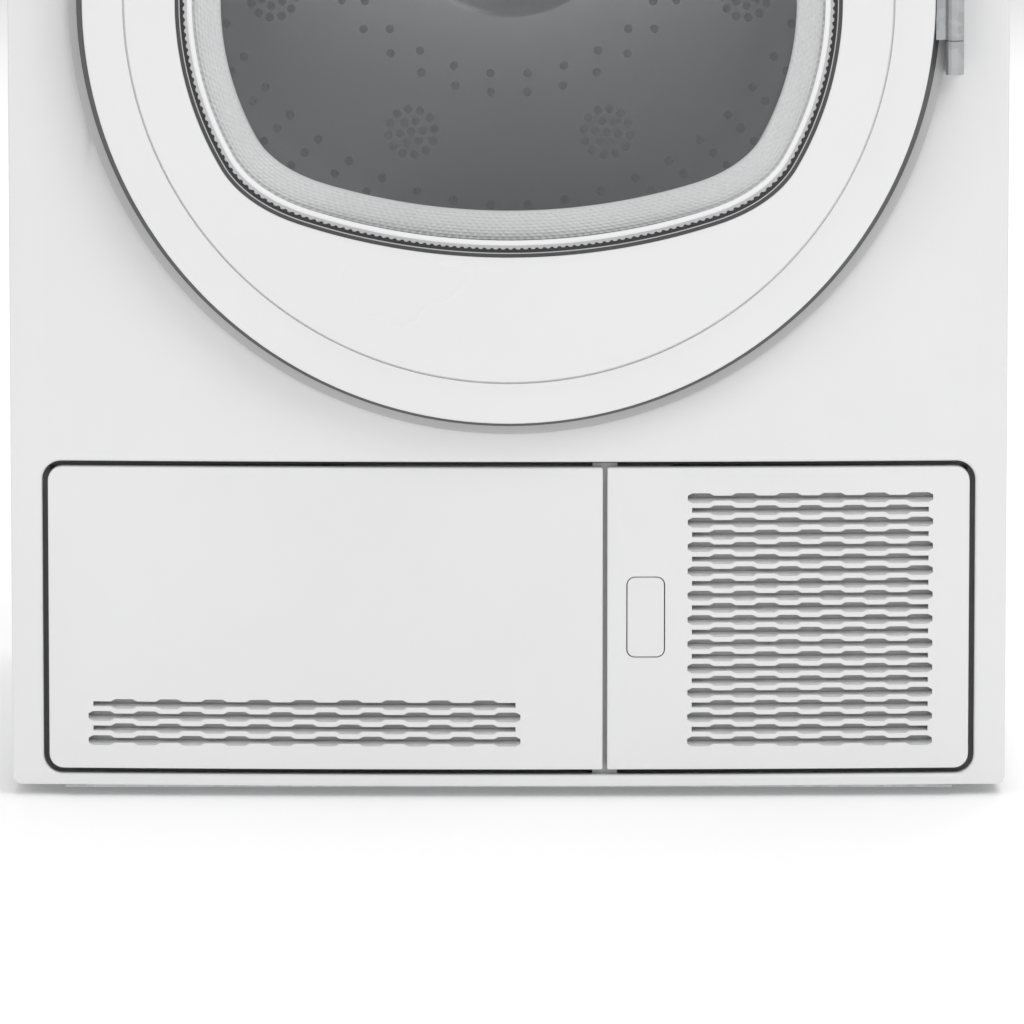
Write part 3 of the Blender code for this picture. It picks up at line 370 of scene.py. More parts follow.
def layFloor():
    bm = bmesh.new()
    bmesh.ops.create_grid(bm, x_segments=1, y_segments=1, size=24)
    mesh = bpy.data.meshes.new("floor")
    bm.to_mesh(mesh)
    bm.free()
    look = {"colour": (0.93, 0.93, 0.93), "shade": 0.004, "roughness": 0.8, "peel": 60, "bump": 0.01}
    finish = makeFinish("paleFloor", look)
    shader = finish.node_tree.nodes["Principled BSDF"]
    shader.inputs["Emission Color"].default_value = (1, 1, 1, 1)
    shader.inputs["Emission Strength"].default_value = floorGlow
    mesh.materials.append(finish)
    floor = bpy.data.objects.new("floor", mesh)
    bpy.context.scene.collection.objects.link(floor)


setCamera()
setLights()
layFloor()
print("camera, light and floor")


# front panel

frontPanel = {"cornerLow": 0.0055, "cornerHigh": 0.0015, "edge": 0.0020, "returnDepth": 0.0150,
              "sheet": 0.0009, "doorHole": 0.2165, "doorEdge": 0.002, "doorFold": 0.006,
              "openingX": 0.2787, "openingLow": 0.0140, "openingHigh": 0.2033, "openingCorner": 0.0115,
              "openingEdge": 0.0022, "openingFold": 0.011,
              "hookX": (-0.2395, -0.2195), "hookZ": (0.4685, 0.4955)}


def buildFrontPanel():
    part = frontPanel
    bm = bmesh.new()
    x = (-halfWidth, halfWidth)
    z = (float(panelLow[2]), float(panelHigh[2]))
    radii = (part["cornerLow"], part["cornerHigh"], part["cornerHigh"], part["cornerLow"])
    rim, _ = rolledEdge(bm, lambda grow: roundedOutline(x, z, radii, -grow), 0.0014, part["returnDepth"],
                        frontEdgeY)
    wide = part["openingX"]
    corner = [part["openingCorner"]] * 4
    openingZ = (part["openingLow"], part["openingHigh"])
    opening, _ = rolledEdge(bm, lambda grow: roundedOutline((-wide, wide), openingZ, corner, grow),
                            part["openingEdge"], part["openingFold"], frontEdgeY)
    doorHole, _ = rolledEdge(bm, lambda grow: circleOutline((0, doorZ), part["doorHole"] + grow, 96),
                             part["doorEdge"], part["doorFold"], frontEdgeY)
    hookSlot = loopOfEdges(bm, roundedOutline(part["hookX"], part["hookZ"], [0.002] * 4, 0, 3), frontEdgeY)
    fillFlat(bm, rim + opening + doorHole + hookSlot, (0, -1, 0))
    bowToFront(bm)
    piece = addPiece("frontPanel", bm, made["enamel"], "root", ["front_panel"], recalc=True)
    thicken(piece, part["sheet"])


buildFrontPanel()
print("front panel")


# plinth covers with their grilles

cover = {"gap": 0.0034, "splitX": 0.0575, "splitGap": 0.0027, "corner": 0.0085, "small": 0.0012,
         "edge": 0.0010, "wall": 0.0080, "setBack": 0.0001}
grille = {"lowestZ": 0.0344, "pitch": 0.00736, "wideHalf": 0.0030, "narrowHalf": 0.00155, "flatHalf": 0.00505,
          "slope": 0.0028, "sill": -0.0010}
rightGrille = {"rows": 21, "period": 0.0262, "firstWide": 0.1147, "wideCount": 6, "narrowEnd": 0.0104}
leftGrille = {"rows": 4, "period": 0.0270, "firstWide": -0.2439, "wideCount": 10, "narrowEnd": 0.0105}
latch = {"x": (0.0709, 0.0928), "z": (0.0859, 0.1337), "corner": 0.0044, "line": 0.0006, "edge": 0.0006,
         "depth": 0.005}


def slotOutline(row, z, wideFirst, lowerTo=None):
    # a slot that swells and narrows along its length; lowerTo lifts its lower side
    reach = grille["flatHalf"] + grille["slope"]
    first = row["firstWide"] if wideFirst else row["firstWide"] + row["period"] / 2
    count = row["wideCount"] if wideFirst else row["wideCount"] - 1
    left = first - reach - (0 if wideFirst else row["narrowEnd"] + 0.0001)
    right = first + (count - 1) * row["period"] + reach + (0 if wideFirst else row["narrowEnd"] + 0.0001)
    upper = [] if wideFirst else [(left, grille["narrowHalf"])]
    for i in range(count):
        centre = first + i * row["period"]
        upper += [(centre - reach, grille["narrowHalf"]), (centre - grille["flatHalf"], grille["wideHalf"]),
                  (centre + grille["flatHalf"], grille["wideHalf"]), (centre + reach, grille["narrowHalf"])]
    if not wideFirst:
        upper.append((right, grille["narrowHalf"]))
    outline = [(x, z + half) for x, half in upper]
    for x, half in reversed(upper):
        outline.append((x, z - half if lowerTo is None else lowerTo))
    return outline


def buildCover(name, x, radii, row, wideOnEven, node, body, latchHole=False):
    bm = bmesh.new()
    z = (frontPanel["openingLow"] + cover["gap"], frontPanel["openingHigh"] - cover["gap"])
    front = frontEdgeY + cover["setBack"]
    back = front + cover["wall"]
    rim, rear = rolledEdge(bm, lambda grow: roundedOutline(x, z, radii, -grow, 6), cover["edge"],
                           cover["wall"], front)
    frontEdges, backEdges = rim, rear
    for i in range(row["rows"]):
        middle = grille["lowestZ"] + i * grille["pitch"]
        wideFirst = (i % 2 == 0) == wideOnEven
        mouth = loopOfEdges(bm, slotOutline(row, middle, wideFirst), front)
        throat = loopOfEdges(bm, slotOutline(row, middle, wideFirst, middle + grille["sill"]), back)
        bridge(bm, [mouth, throat])
        frontEdges = frontEdges + mouth
        backEdges = backEdges + throat
    if latchHole:
        grown = latch["line"]
        mouth, throat = rolledEdge(
            bm, lambda grow: roundedOutline(latch["x"], latch["z"], [latch["corner"]] * 4, grow + grown, 6),
            0.0004, cover["wall"], front)
        frontEdges = frontEdges + mouth
        backEdges = backEdges + throat
    fillFlat(bm, frontEdges, (0, -1, 0))
    fillFlat(bm, backEdges, (0, 1, 0))
    bowToFront(bm)
    return addPiece(name, bm, made["whitePlastic"], body, [node], smooth=25)


def buildLatch():
    bm = bmesh.new()
    front = frontEdgeY + cover["setBack"]
    rim, rear = rolledEdge(bm, lambda grow: roundedOutline(latch["x"], latch["z"], [latch["corner"]] * 4,
                                                           -grow, 8), latch["edge"], latch["depth"], front)
    bmesh.ops.contextual_create(bm, geom=rim)
    bmesh.ops.contextual_create(bm, geom=rear)
    bowToFront(bm)
    addPiece("latchButton", bm, made["whitePlastic"], "latch_button", ["flap_latch"])


def buildScreen(name, x, z, body):
    # the dust screen behind a grille, one thin flat sheet
    bm = bmesh.new()
    y = frontEdgeY + cover["wall"] + 0.0022
    addBlock(bm, x, (y, y + 0.0012), z, 0.0003, 1)
    bowToFront(bm)
    # a real dust screen whose grey is painted shade: it stands in for the dim space seen through the slots
    addPiece(name, bm, made["screenShadeGrey"], body)


small = cover["small"]
leftX = (-frontPanel["openingX"] + cover["gap"], cover["splitX"] - cover["splitGap"] / 2)
rightX = (cover["splitX"] + cover["splitGap"] / 2, frontPanel["openingX"] - cover["gap"])
buildCover("plinthCover", leftX, (small, small, cover["corner"], cover["corner"]), leftGrille, True,
           "plinth_cover", "root")
buildCover("condenserFlap", rightX, (cover["corner"], cover["corner"], small, small), rightGrille, True,
           "condenser_flap", "flap", latchHole=True)
buildLatch()
buildScreen("flapScreen", (0.100, 0.2600), (0.028, 0.189), "flap")
buildScreen("coverScreen", (-0.258, 0.016), (0.028, 0.064), "root")


shadeBacking = {"y": (-0.2670, -0.2655), "sideX": (0.2745, 0.2835),
           "splitX": (0.0500, 0.0650), "splitY": (-0.2795, -0.2780),
           "lowZ": (0.0090, 0.0185), "highZ": (0.1990, 0.2080)}


def buildShadeBacking():
    # a rebate strip behind the gaps round the covers, its grey painted shade in the gaps
    bm = bmesh.new()
    z = (shadeBacking["lowZ"][0], shadeBacking["highZ"][1])
    for side in (-1, 1):
        addBlock(bm, sorted((side * shadeBacking["sideX"][0], side * shadeBacking["sideX"][1])), shadeBacking["y"], z)
    levelX = (-shadeBacking["sideX"][1], shadeBacking["sideX"][1])
    for level in (shadeBacking["lowZ"], shadeBacking["highZ"]):
        addBlock(bm, levelX, (shadeBacking["y"][0] + 0.0001, shadeBacking["y"][1]), level)
    addPiece("gapShadeBacking", bm, made["gapShadeGrey"], "root")
    bm = bmesh.new()
    # a paler grey strip behind the split between the covers: painted shade in that gap
    addBlock(bm, shadeBacking["splitX"], shadeBacking["splitY"], (z[0], z[1] - 0.006), 0.0003, 1)
    addPiece("splitShadeBacking", bm, made["splitShadeGrey"], "root")
    bm = bmesh.new()
    for low in (0.030, 0.165):
        addPin(bm, (0.2692, -0.2756, low), (0.2692, -0.2756, low + 0.020), 0.004, 20, 0.0004)
    addPiece("flapKnuckles", bm, made["whitePlastic"], "flap")


buildShadeBacking()
print("plinth covers")


# door

door = {"partingR": 0.2270, "outerR": 0.2520, "ringFront": -0.3135, "ringRear": -0.2925, "wall": 0.0025,
        "outerEdge": 0.0016, "partingEdge": 0.0005, "partingGap": 0.0011, "sides": 192, "crownAt": 0.1517,
        "crownFront": -0.3200, "notchZ": (0.440, 0.524)}
# ring seal, lip and skirt round the door's edge; their dark and grey finishes are painted shadow
rimShadowSeal = {"outerR": 0.2534, "innerR": 0.2430, "lipR": 0.2578, "y": (-0.2990, -0.2935),
           "lipY": -0.2908, "skirtR": 0.2612, "skirtY": -0.2899}
window = {"radius": 0.197, "drop": 0.1517, "arc": 0.403, "corner": 0.016, "points": 1040}
doorCentre = (0, 0, doorZ)


def coverY(radius):
    # the inner disc swells gently towards the window
    full = 1 - (door["crownAt"] / door["partingR"]) ** 2
    crown = (door["crownFront"] - door["ringFront"]) / full
    return door["ringFront"] + crown * (1 - (radius / door["partingR"]) ** 2)


def windowReach(angle, inset):
    # distance from the door's middle to the window's edge: a circle with a flatter arc below
    circle = window["radius"] - inset
    flat = window["arc"] - inset
    rise = window["arc"] - window["drop"]
    across = rise * math.sin(angle)
    lower = across + math.sqrt(across ** 2 - rise ** 2 + flat ** 2)
    blend = max(0.0, 1 - abs(circle - lower) / window["corner"])
    return min(circle, lower) - blend ** 2 * window["corner"] / 4


def windowAngles(count):
    # evenly spaced along the outline, so that teeth and beads keep their pitch
    steps = 4000
    angles = [math.tau * i / steps for i in range(steps + 1)]
    spots = [Vector((math.cos(a), math.sin(a))) * windowReach(a, 0.0) for a in angles]
    lengths = [0.0]
    for first, second in zip(spots, spots[1:]):
        lengths.append(lengths[-1] + (second - first).length)
    chosen = []
    place = 0
    for i in range(count):
        target = lengths[-1] * i / count
        while lengths[place + 1] < target:
            place += 1
        chosen.append(angles[place])
    return chosen


windowTurns = windowAngles(window["points"])


def windowLoop(bm, inset, y=None, recess=0.0):
    # inset is one value, or a function of the point's number; y is fixed or follows the disc's swell
    verts = []
    for i, angle in enumerate(windowTurns):
        reach = windowReach(angle, inset(i) if callable(inset) else inset)
        depth = coverY(reach) + recess if y is None else (y(i) if callable(y) else y)
        verts.append(bm.verts.new((reach * math.cos(angle), depth, doorZ + reach * math.sin(angle))))
    return [bm.edges.new(pair) for pair in zip(verts, verts[1:] + verts[:1])]


def circleLoop(bm, radius, y):
    verts = [bm.verts.new((radius * math.cos(a), y, doorZ + radius * math.sin(a))) for a in windowTurns]
    return [bm.edges.new(pair) for pair in zip(verts, verts[1:] + verts[:1])]


def carve(piece, bm):
    # cuts a shape out of a finished piece
    mesh = bpy.data.meshes.new("cutter")
    bmesh.ops.recalc_face_normals(bm, faces=bm.faces)
    bm.to_mesh(mesh)
    bm.free()
    cutter = bpy.data.objects.new("cutter", mesh)
    bpy.context.scene.collection.objects.link(cutter)
    step = piece.modifiers.new("cut", "BOOLEAN")
    step.operation = "DIFFERENCE"
    step.solver = "EXACT"
    step.object = cutter
    graph = bpy.context.evaluated_depsgraph_get()
    cutMesh = bpy.data.meshes.new_from_object(piece.evaluated_get(graph))
    piece.modifiers.clear()
    piece.data = cutMesh
    bpy.data.objects.remove(cutter)
    return piece


def buildDoorRing():
    outer, wall = door["outerR"], door["wall"]
    edge, small = door["outerEdge"], door["partingEdge"]
    front, rear = door["ringFront"], door["ringRear"]
    inner = door["partingR"] + door["partingGap"]
    profile = [(outer, rear)]
    profile += [(r, y) for r, y in arcPoints((outer - edge, front + edge), edge, 0, -90, 5)]
    profile += [(r, y) for r, y in arcPoints((inner + small, front + small), small, -90, -180, 4)]
    profile += [(inner, -0.2962), (inner + wall, -0.2962), (inner + wall, front + wall),
                (outer - wall, front + wall), (outer - wall, rear)]
    bm = bmesh.new()
    spinProfile(bm, profile, doorCentre, door["sides"])
    ring = addPiece("doorRing", bm, made["doorWhite"], "door", ["door_ring"], smooth=40)
    cutter = bmesh.new()
    addBlock(cutter, (-0.268, -0.238), (-0.3095, -0.288), door["notchZ"], 0.003, 3)
    carve(ring, cutter)


def buildDoorCover():
    bm = bmesh.new()
    small = door["partingEdge"]
    rim = door["partingR"]
    back = door["wall"]
    lip = rim + door["partingGap"] - 0.0001
    loops = [circleLoop(bm, lip, door["ringFront"] + back), circleLoop(bm, lip, door["ringFront"] + 0.0018),
             circleLoop(bm, rim, door["ringFront"] + 0.0016), circleLoop(bm, rim, door["ringFront"] + small)]
    for i in range(1, 4):
        angle = math.pi / 2 * i / 3
        loops.append(circleLoop(bm, rim - small * (1 - math.cos(angle)),
                                door["ringFront"] + small * (1 - math.sin(angle))))
    steps = 14
    for i in range(1, steps + 1):
        share = i / steps
        verts = []
        for angle in windowTurns:
            reach = (rim - small) + (windowReach(angle, -0.0006) - (rim - small)) * share
            place = (reach * math.cos(angle), coverY(reach), doorZ + reach * math.sin(angle))
            verts.append(bm.verts.new(place))
        loops.append([bm.edges.new(pair) for pair in zip(verts, verts[1:] + verts[:1])])
    loops.append(windowLoop(bm, -0.0002, recess=0.0002))
    loops.append(windowLoop(bm, 0.0, recess=0.0006))
    loops.append(windowLoop(bm, 0.0, recess=back))
    loops.append(loops[0])
    bridge(bm, loops)
    addPiece("doorCover", bm, made["doorWhite"], "door", ["door_cover"], smooth=30)


bands = (
    # name, finish, (inset, recess) points from the outside in
    ("windowGasket", "darkTrim", ((0.0001, 0.0022), (0.0001, 0.0006), (0.0006, 0.0003), (0.0012, 0.0002),
                                  (0.0018, 0.0003), (0.0022, 0.0006), (0.0022, 0.0022))),
    ("windowLine", "paleTrim", ((0.0022, 0.0022), (0.0022, 0.0007), (0.0028, 0.0007), (0.0028, 0.0022))),
    ("windowSlope", "paleTrim", ((0.0048, 0.0026), (0.0048, 0.0010), (0.0070, 0.0018), (0.0070, 0.0026))),
    ("windowWhiteRing", "brightTrim", ((0.0070, 0.0035), (0.0070, 0.0017), (0.0076, 0.0013), (0.0094, 0.0013),
                                       (0.0100, 0.0017), (0.0100, 0.0035))),
)
teeth = {"outer": 0.0028, "tip": 0.0056, "root": 0.0045, "front": 0.0007, "back": 0.0022}
beads = {"outer": 0.0098, "row": 0.00095, "rows": 18, "y": -0.3120, "height": 0.0006}


def buildWindowTrim():
    for name, finish, section in bands:
        bm = bmesh.new()
        loops = [windowLoop(bm, inset, recess=recess) for inset, recess in section]
        bridge(bm, loops + loops[:1])
        addPiece(name, bm, made[finish], "door", smooth=50)

    def toothed(i):
        return teeth["tip"] if i % 4 in (0, 1) else teeth["root"]

    bm = bmesh.new()
    loops = [windowLoop(bm, teeth["outer"], recess=teeth["back"]),
             windowLoop(bm, teeth["outer"], recess=teeth["front"]),
             windowLoop(bm, toothed, recess=teeth["front"]),
             windowLoop(bm, toothed, recess=teeth["back"])]
    bridge(bm, loops + loops[:1])
    addPiece("windowToothedBand", bm, made["blackPlastic"], "door", smooth=20)

    bm = bmesh.new()
    loops = []
    for row in range(beads["rows"]):
        def beadY(i, row=row):
            high = i % 4 in (0, 1) if row % 4 < 2 else i % 4 in (2, 3)
            return beads["y"] - (beads["height"] if high and row % 2 == 0 else 0.0)

        loops.append(windowLoop(bm, beads["outer"] + row * beads["row"], y=beadY))
    loops.append(windowLoop(bm, beads["outer"] + beads["rows"] * beads["row"], y=beads["y"] + 0.0012))
    loops.append(windowLoop(bm, beads["outer"], y=beads["y"] + 0.0012))
    bridge(bm, loops + loops[:1])
    addPiece("windowBeadRing", bm, made["beadWhite"], "door", smooth=20)


def buildPane():
    bm = bmesh.new()
    front = windowLoop(bm, 0.0094, y=-0.3150)
    back = windowLoop(bm, 0.0094, y=-0.3128)
    bridge(bm, [front, back])
    bmesh.ops.contextual_create(bm, geom=front)
    bmesh.ops.contextual_create(bm, geom=back)
    addPiece("windowPane", bm, made["windowPane"], "door", ["door_window"], smooth=30)
    bm = bmesh.new()
    profile = [(0, -0.2675), (0.140, -0.2675)]
    profile += arcPoints((0.140, -0.2755), 0.008, 90, 20, 4)
    profile += [(0.1640, -0.2965), (0.1660, -0.2988), (0.185, -0.2988), (0.185, -0.2958), (0.1685, -0.2958),
                (0.1510, -0.2705)]
    profile += arcPoints((0.1430, -0.2725), 0.008, 20, 90, 4)
    profile += [(0, -0.2645)]
    spinProfile(bm, profile, doorCentre, 128, closed=False)
    addPiece("glassBowl", bm, made["bowlGlass"], "door", ["door_bowl"], smooth=40)


def buildDoorInside():
    # a dark ring just outside the door ring's edge: painted shadow of the gap behind the door
    bm = bmesh.new()
    seal = rimShadowSeal
    spinProfile(bm, [(seal["outerR"], seal["y"][1]), (seal["outerR"], seal["y"][0] + 0.0006),
                     (seal["outerR"] - 0.0006, seal["y"][0]), (seal["innerR"] + 0.0091, seal["y"][0]),
                     (seal["innerR"] + 0.0091, seal["y"][1])], doorCentre, door["sides"])
    addPiece("doorRimShadowSeal", bm, made["shadowSealDark"], "door", smooth=40)
    # a dark lip sloping back towards the panel: painted shadow
    bm = bmesh.new()
    spinProfile(bm, [(seal["outerR"] - 0.0004, seal["y"][0] + 0.0015), (seal["outerR"] + 0.0006, -0.2958),
                     (seal["outerR"] + 0.0022, -0.2930), (seal["lipR"], seal["lipY"]),
                     (seal["lipR"] - 0.0008, seal["lipY"] + 0.0003), (seal["outerR"] - 0.0004, -0.2926)],
                doorCentre, door["sides"])
    addPiece("doorShadowSealLip", bm, made["shadowSealDark"], "door", smooth=60)
    # a mid-grey skirt on the panel round the lip: painted soft shadow round the door's edge
    bm = bmesh.new()
    spinProfile(bm, [(seal["outerR"] + 0.0012, -0.2927), (seal["outerR"] + 0.0024, -0.2926),
                     (seal["skirtR"], seal["skirtY"]), (seal["skirtR"] - 0.0006, seal["skirtY"] + 0.0003),
                     (seal["outerR"] + 0.0012, -0.2922)], doorCentre, door["sides"])
    addPiece("doorShadowSealSkirt", bm, made["shadowSealGrey"], "door", smooth=60)
    bm = bmesh.new()
    profile = [(0.171, -0.2955), (0.2490, -0.2955), (0.2490, -0.2932), (0.2483, -0.2925), (0.2065, -0.2925)]
    profile += [(0.2050, -0.2910), (0.2050, -0.2660), (0.2040, -0.2645), (0.1975, -0.2645), (0.1962, -0.2660),
                (0.1950, -0.2905), (0.1935, -0.2925), (0.171, -0.2925)]
    spinProfile(bm, profile, doorCentre, 128)
    addPiece("doorInnerFrame", bm, made["whitePlastic"], "door", ["door_inner_frame"],
             smooth=30)
    bm = bmesh.new()
    profile = [(0.2055, -0.2915), (0.2090, -0.2915), (0.2105, -0.2890), (0.2078, -0.2870), (0.2105, -0.2845),
               (0.2085, -0.2810), (0.2055, -0.2800)]
    spinProfile(bm, profile, doorCentre, 128)
    addPiece("doorSeal", bm, made["rubber"], "door", ["door_seal"], smooth=60)


buildDoorRing()
buildDoorCover()
buildWindowTrim()
buildPane()
buildDoorInside()
print("door")


# worktop

worktop = {"edge": 0.0035, "underEdge": 0.0012, "rearY": 0.2935, "strip": 0.0017,
           "stripInset": 0.004, "stripRearY": 0.288, "stripOverlap": 0.0003}


def planOutline(x, rearY, steps=36, frontInset=0.0):
    # seen from above: bowed front and straight back
    outline = [(x[1], rearY), (x[0], rearY)]
    for i in range(steps + 1):
        here = x[0] + (x[1] - x[0]) * i / steps
        outline.append((here, frontY(here) + frontInset))
    return outline


def planSlab(bm, outline, z, edge, segments, lowEdge=0.0):
    verts = [bm.verts.new((px, py, z[0])) for px, py in outline]
    base = bm.faces.new(verts)
    grown = bmesh.ops.extrude_face_region(bm, geom=[base])
    lifted = [item for item in grown["geom"] if isinstance(item, bmesh.types.BMVert)]
    bmesh.ops.translate(bm, verts=lifted, vec=(0, 0, z[1] - z[0]))
    for level, size in ((z[1], edge), (z[0], lowEdge)):
        if size:
            rims = [e for e in bm.edges if all(abs(v.co.z - level) < 0.00001 for v in e.verts)]
            bmesh.ops.bevel(bm, geom=rims, offset=size, offset_type="OFFSET", segments=segments,
                            profile=0.5, affect="EDGES", material=-1)


def buildWorktop():
    bm = bmesh.new()
    outline = planOutline((-halfWidth, halfWidth), worktop["rearY"])
    planSlab(bm, outline, (float(topLow[2]), float(topHigh[2])), worktop["edge"], 4, worktop["underEdge"])
    addPiece("worktop", bm, made["worktopLaminate"], "root", ["top_panel"], smooth=50)
    # a grey strip under the worktop's front edge: painted shadow in the gap between worktop and fascia
    bm = bmesh.new()
    inset = worktop["stripInset"]
    outline = planOutline((-halfWidth + inset, halfWidth - inset), worktop["stripRearY"], frontInset=inset)
    under = float(topLow[2])
    planSlab(bm, outline, (under - worktop["strip"], under + worktop["stripOverlap"]), 0, 0)
    addPiece("worktopShadowStrip", bm, made["gapShadeGrey"], "root", smooth=30)


buildWorktop()
print("worktop")


# control fascia, tank drawer front, knob, buttons and display

fascia = {"z": (0.744, 0.827), "splitX": -0.0505, "gap": 0.001, "edge": 0.0016, "corner": 0.0022,
          "returnDepth": 0.0150, "wall": 0.0022, "controlZ": 0.786}
display = {"x": (0.075, 0.150), "z": (0.770, 0.802), "edge": 0.0010, "corner": 0.003, "fold": 0.0045,
           "paneY": (-0.2862, -0.2842)}
# the seven bars of one blank digit: low, high, left and right of its middle
digitBars = ((-0.0082, -0.0072, -0.0036, 0.0036), (-0.0005, 0.0005, -0.0036, 0.0036),
             (0.0072, 0.0082, -0.0036, 0.0036), (-0.0068, -0.0010, -0.0048, -0.0038),
             (-0.0068, -0.0010, 0.0038, 0.0048), (0.0010, 0.0068, -0.0048, -0.0038),
             (0.0010, 0.0068, 0.0038, 0.0048))
knob = {"x": 0.012, "radius": 0.0240, "ribRadius": 0.0250, "ribs": 36, "face": -0.3120, "back": -0.2905,
        "shaftRadius": 0.0036, "shaftBack": -0.2625, "skirt": 0.0028}
buttons = (("optionButton1", "option_1", "option_button_1", 0.178, 0.0085),
           ("optionButton2", "option_2", "option_button_2", 0.207, 0.0085),
           ("startButton", "start", "start_button", 0.250, 0.0130))
tankGrip = {"x": (-0.215, -0.135), "z": (0.750, 0.776), "corner": 0.006, "edge": 0.0025, "fold": 0.012}


def buildFascia(name, x, node, body, holes):
    bm = bmesh.new()
    radii = [fascia["corner"]] * 4
    rim, _ = rolledEdge(bm, lambda grow: roundedOutline(x, fascia["z"], radii, -grow, 6), fascia["edge"],
                        fascia["returnDepth"], frontEdgeY)
    edges = list(rim)
    for outlineAt, edge, depth in holes:
        mouth, _ = rolledEdge(bm, outlineAt, edge, depth, frontEdgeY)
        edges += mouth
    fillFlat(bm, edges, (0, -1, 0))
    bowToFront(bm)
    piece = addPiece(name, bm, made["doorWhite"], body, [node], smooth=35)
    thicken(piece, fascia["wall"])


def circleHole(x, radius):
    return lambda grow: circleOutline((x, fascia["controlZ"]), radius + grow, 40)


def buildControls():
    middle = fascia["controlZ"]
    holes = [(lambda grow: roundedOutline(display["x"], display["z"], [display["corner"]] * 4, grow, 6),
              display["edge"], display["fold"]),
             (circleHole(knob["x"], 0.0045), 0.0005, 0.004)]
    for _, _, _, x, radius in buttons:
        holes.append((circleHole(x, radius + 0.0005), 0.0004, 0.005))
    controlX = (fascia["splitX"] + fascia["gap"], halfWidth)
    buildFascia("controlFascia", controlX, "control_fascia", "root", holes)
    grip = (lambda grow: roundedOutline(tankGrip["x"], tankGrip["z"], [tankGrip["corner"]] * 4, grow, 8),
            tankGrip["edge"], tankGrip["fold"])
    tankX = (-halfWidth, fascia["splitX"] - fascia["gap"])
    buildFascia("tankFront", tankX, "tank_front", "water_tank", [grip])

    bm = bmesh.new()
    clear = 0.0004
    addBlock(bm, (display["x"][0] + clear, display["x"][1] - clear), display["paneY"],
             (display["z"][0] + clear, display["z"][1] - clear), 0.0004, 2)
    addPiece("displayPane", bm, made["blackGloss"], "root", ["display_window"])
    bm = bmesh.new()
    face = display["paneY"][0] - 0.00012
    for place in (-0.026, -0.012, 0.006, 0.020):
        centre = sum(display["x"]) / 2 + place
        for low, high, left, right in digitBars:
            addBlock(bm, (centre + left, centre + right), (face, face + 0.0001),
                     (middle + low, middle + high))
    for up in (-0.0045, 0.0045):
        centre = sum(display["x"]) / 2 - 0.003
        addBlock(bm, (centre - 0.0006, centre + 0.0006), (face, face + 0.0001),
                 (middle + up - 0.0006, middle + up + 0.0006))
    addPiece("displayDigits", bm, made["greyMark"], "root")

    bm = bmesh.new()
    for i in range(16):
        angle = math.radians(90 + 22.5 * i)
        reach = 0.0305
        x = knob["x"] + reach * math.cos(angle)
        z = middle + reach * math.sin(angle)
        size = 0.0009 if i % 4 else 0.0014
        addPin(bm, (x, frontY(x) - 0.00025, z), (x, frontY(x) + 0.0008, z), size, 14)
    for _, _, _, x, radius in buttons:
        z = middle + radius + 0.0055
        addPin(bm, (x, frontY(x) - 0.00025, z), (x, frontY(x) + 0.0008, z), 0.0010, 14)
    addPiece("fasciaMarks", bm, made["greyMark"], "root")
    print("fascia")


def buildKnob():
    bm = bmesh.new()
    sides = knob["ribs"] * 4
    face, back = knob["face"], knob["back"]
    x, z = knob["x"], fascia["controlZ"]

    def ringAt(y, tip, root):
        ring = []
        for i in range(sides):
            angle = math.tau * i / sides
            radius = tip if i % 4 < 2 else root
            ring.append((x + radius * math.cos(angle), y, z + radius * math.sin(angle)))
        return ring

    tip, root = knob["ribRadius"], knob["radius"]
    loft(bm, [ringAt(face + 0.0010, 0.0100, 0.0100), ringAt(face + 0.0003, 0.0195, 0.0195),
              ringAt(face, 0.0208, 0.0208), ringAt(face + 0.0002, 0.0218, 0.0218),
              ringAt(face + 0.0008, 0.0238, 0.0232), ringAt(face + 0.0020, tip, root),
              ringAt(back - knob["skirt"], tip, root), ringAt(back - knob["skirt"] + 0.0004, tip, tip),
              ringAt(back, tip, tip)])
    addPin(bm, (x, back, z), (x, knob["shaftBack"], z), knob["shaftRadius"], 24)
    addPiece("programmeKnob", bm, made["whitePlastic"], "knob", ["programme_knob"],
             smooth=28)
    bm = bmesh.new()
    pointerY = (face - 0.00015, face + 0.0012)
    addBlock(bm, (x - 0.0006, x + 0.0006), pointerY, (z + 0.013, z + 0.0212), 0.0003, 1)
    addPiece("knobPointer", bm, made["greyMark"], "knob")


def buildButtons():
    for name, body, node, x, radius in buttons:
        bm = bmesh.new()
        face = frontY(x) - 0.0012
        rear = -0.2670
        profile = [(0, face + 0.0006), (radius * 0.6, face + 0.0004), (radius * 0.85, face + 0.00005),
                   (radius - 0.0010, face), (radius - 0.0003, face + 0.0003), (radius, face + 0.0010),
                   (radius, rear), (0, rear)]
        spinProfile(bm, profile, (x, 0, fascia["controlZ"]), 48, closed=False)
        addPiece(name, bm, made["whitePlastic"], body, [node], smooth=30)
    bm = bmesh.new()
    x = buttons[2][3]
    face = frontY(x) - 0.0012
    z = fascia["controlZ"]
    half = 0.0030
    for left in (x - half, x + half - 0.0016):
        addBlock(bm, (left, left + 0.0016), (face + 0.0002, face + 0.0009), (z - half, z + half), 0.0002, 1)
    addPiece("startMark", bm, made["greyMark"], "start")


buildControls()
buildKnob()
buildButtons()
print("controls")


# side panels, back panel and rear duct

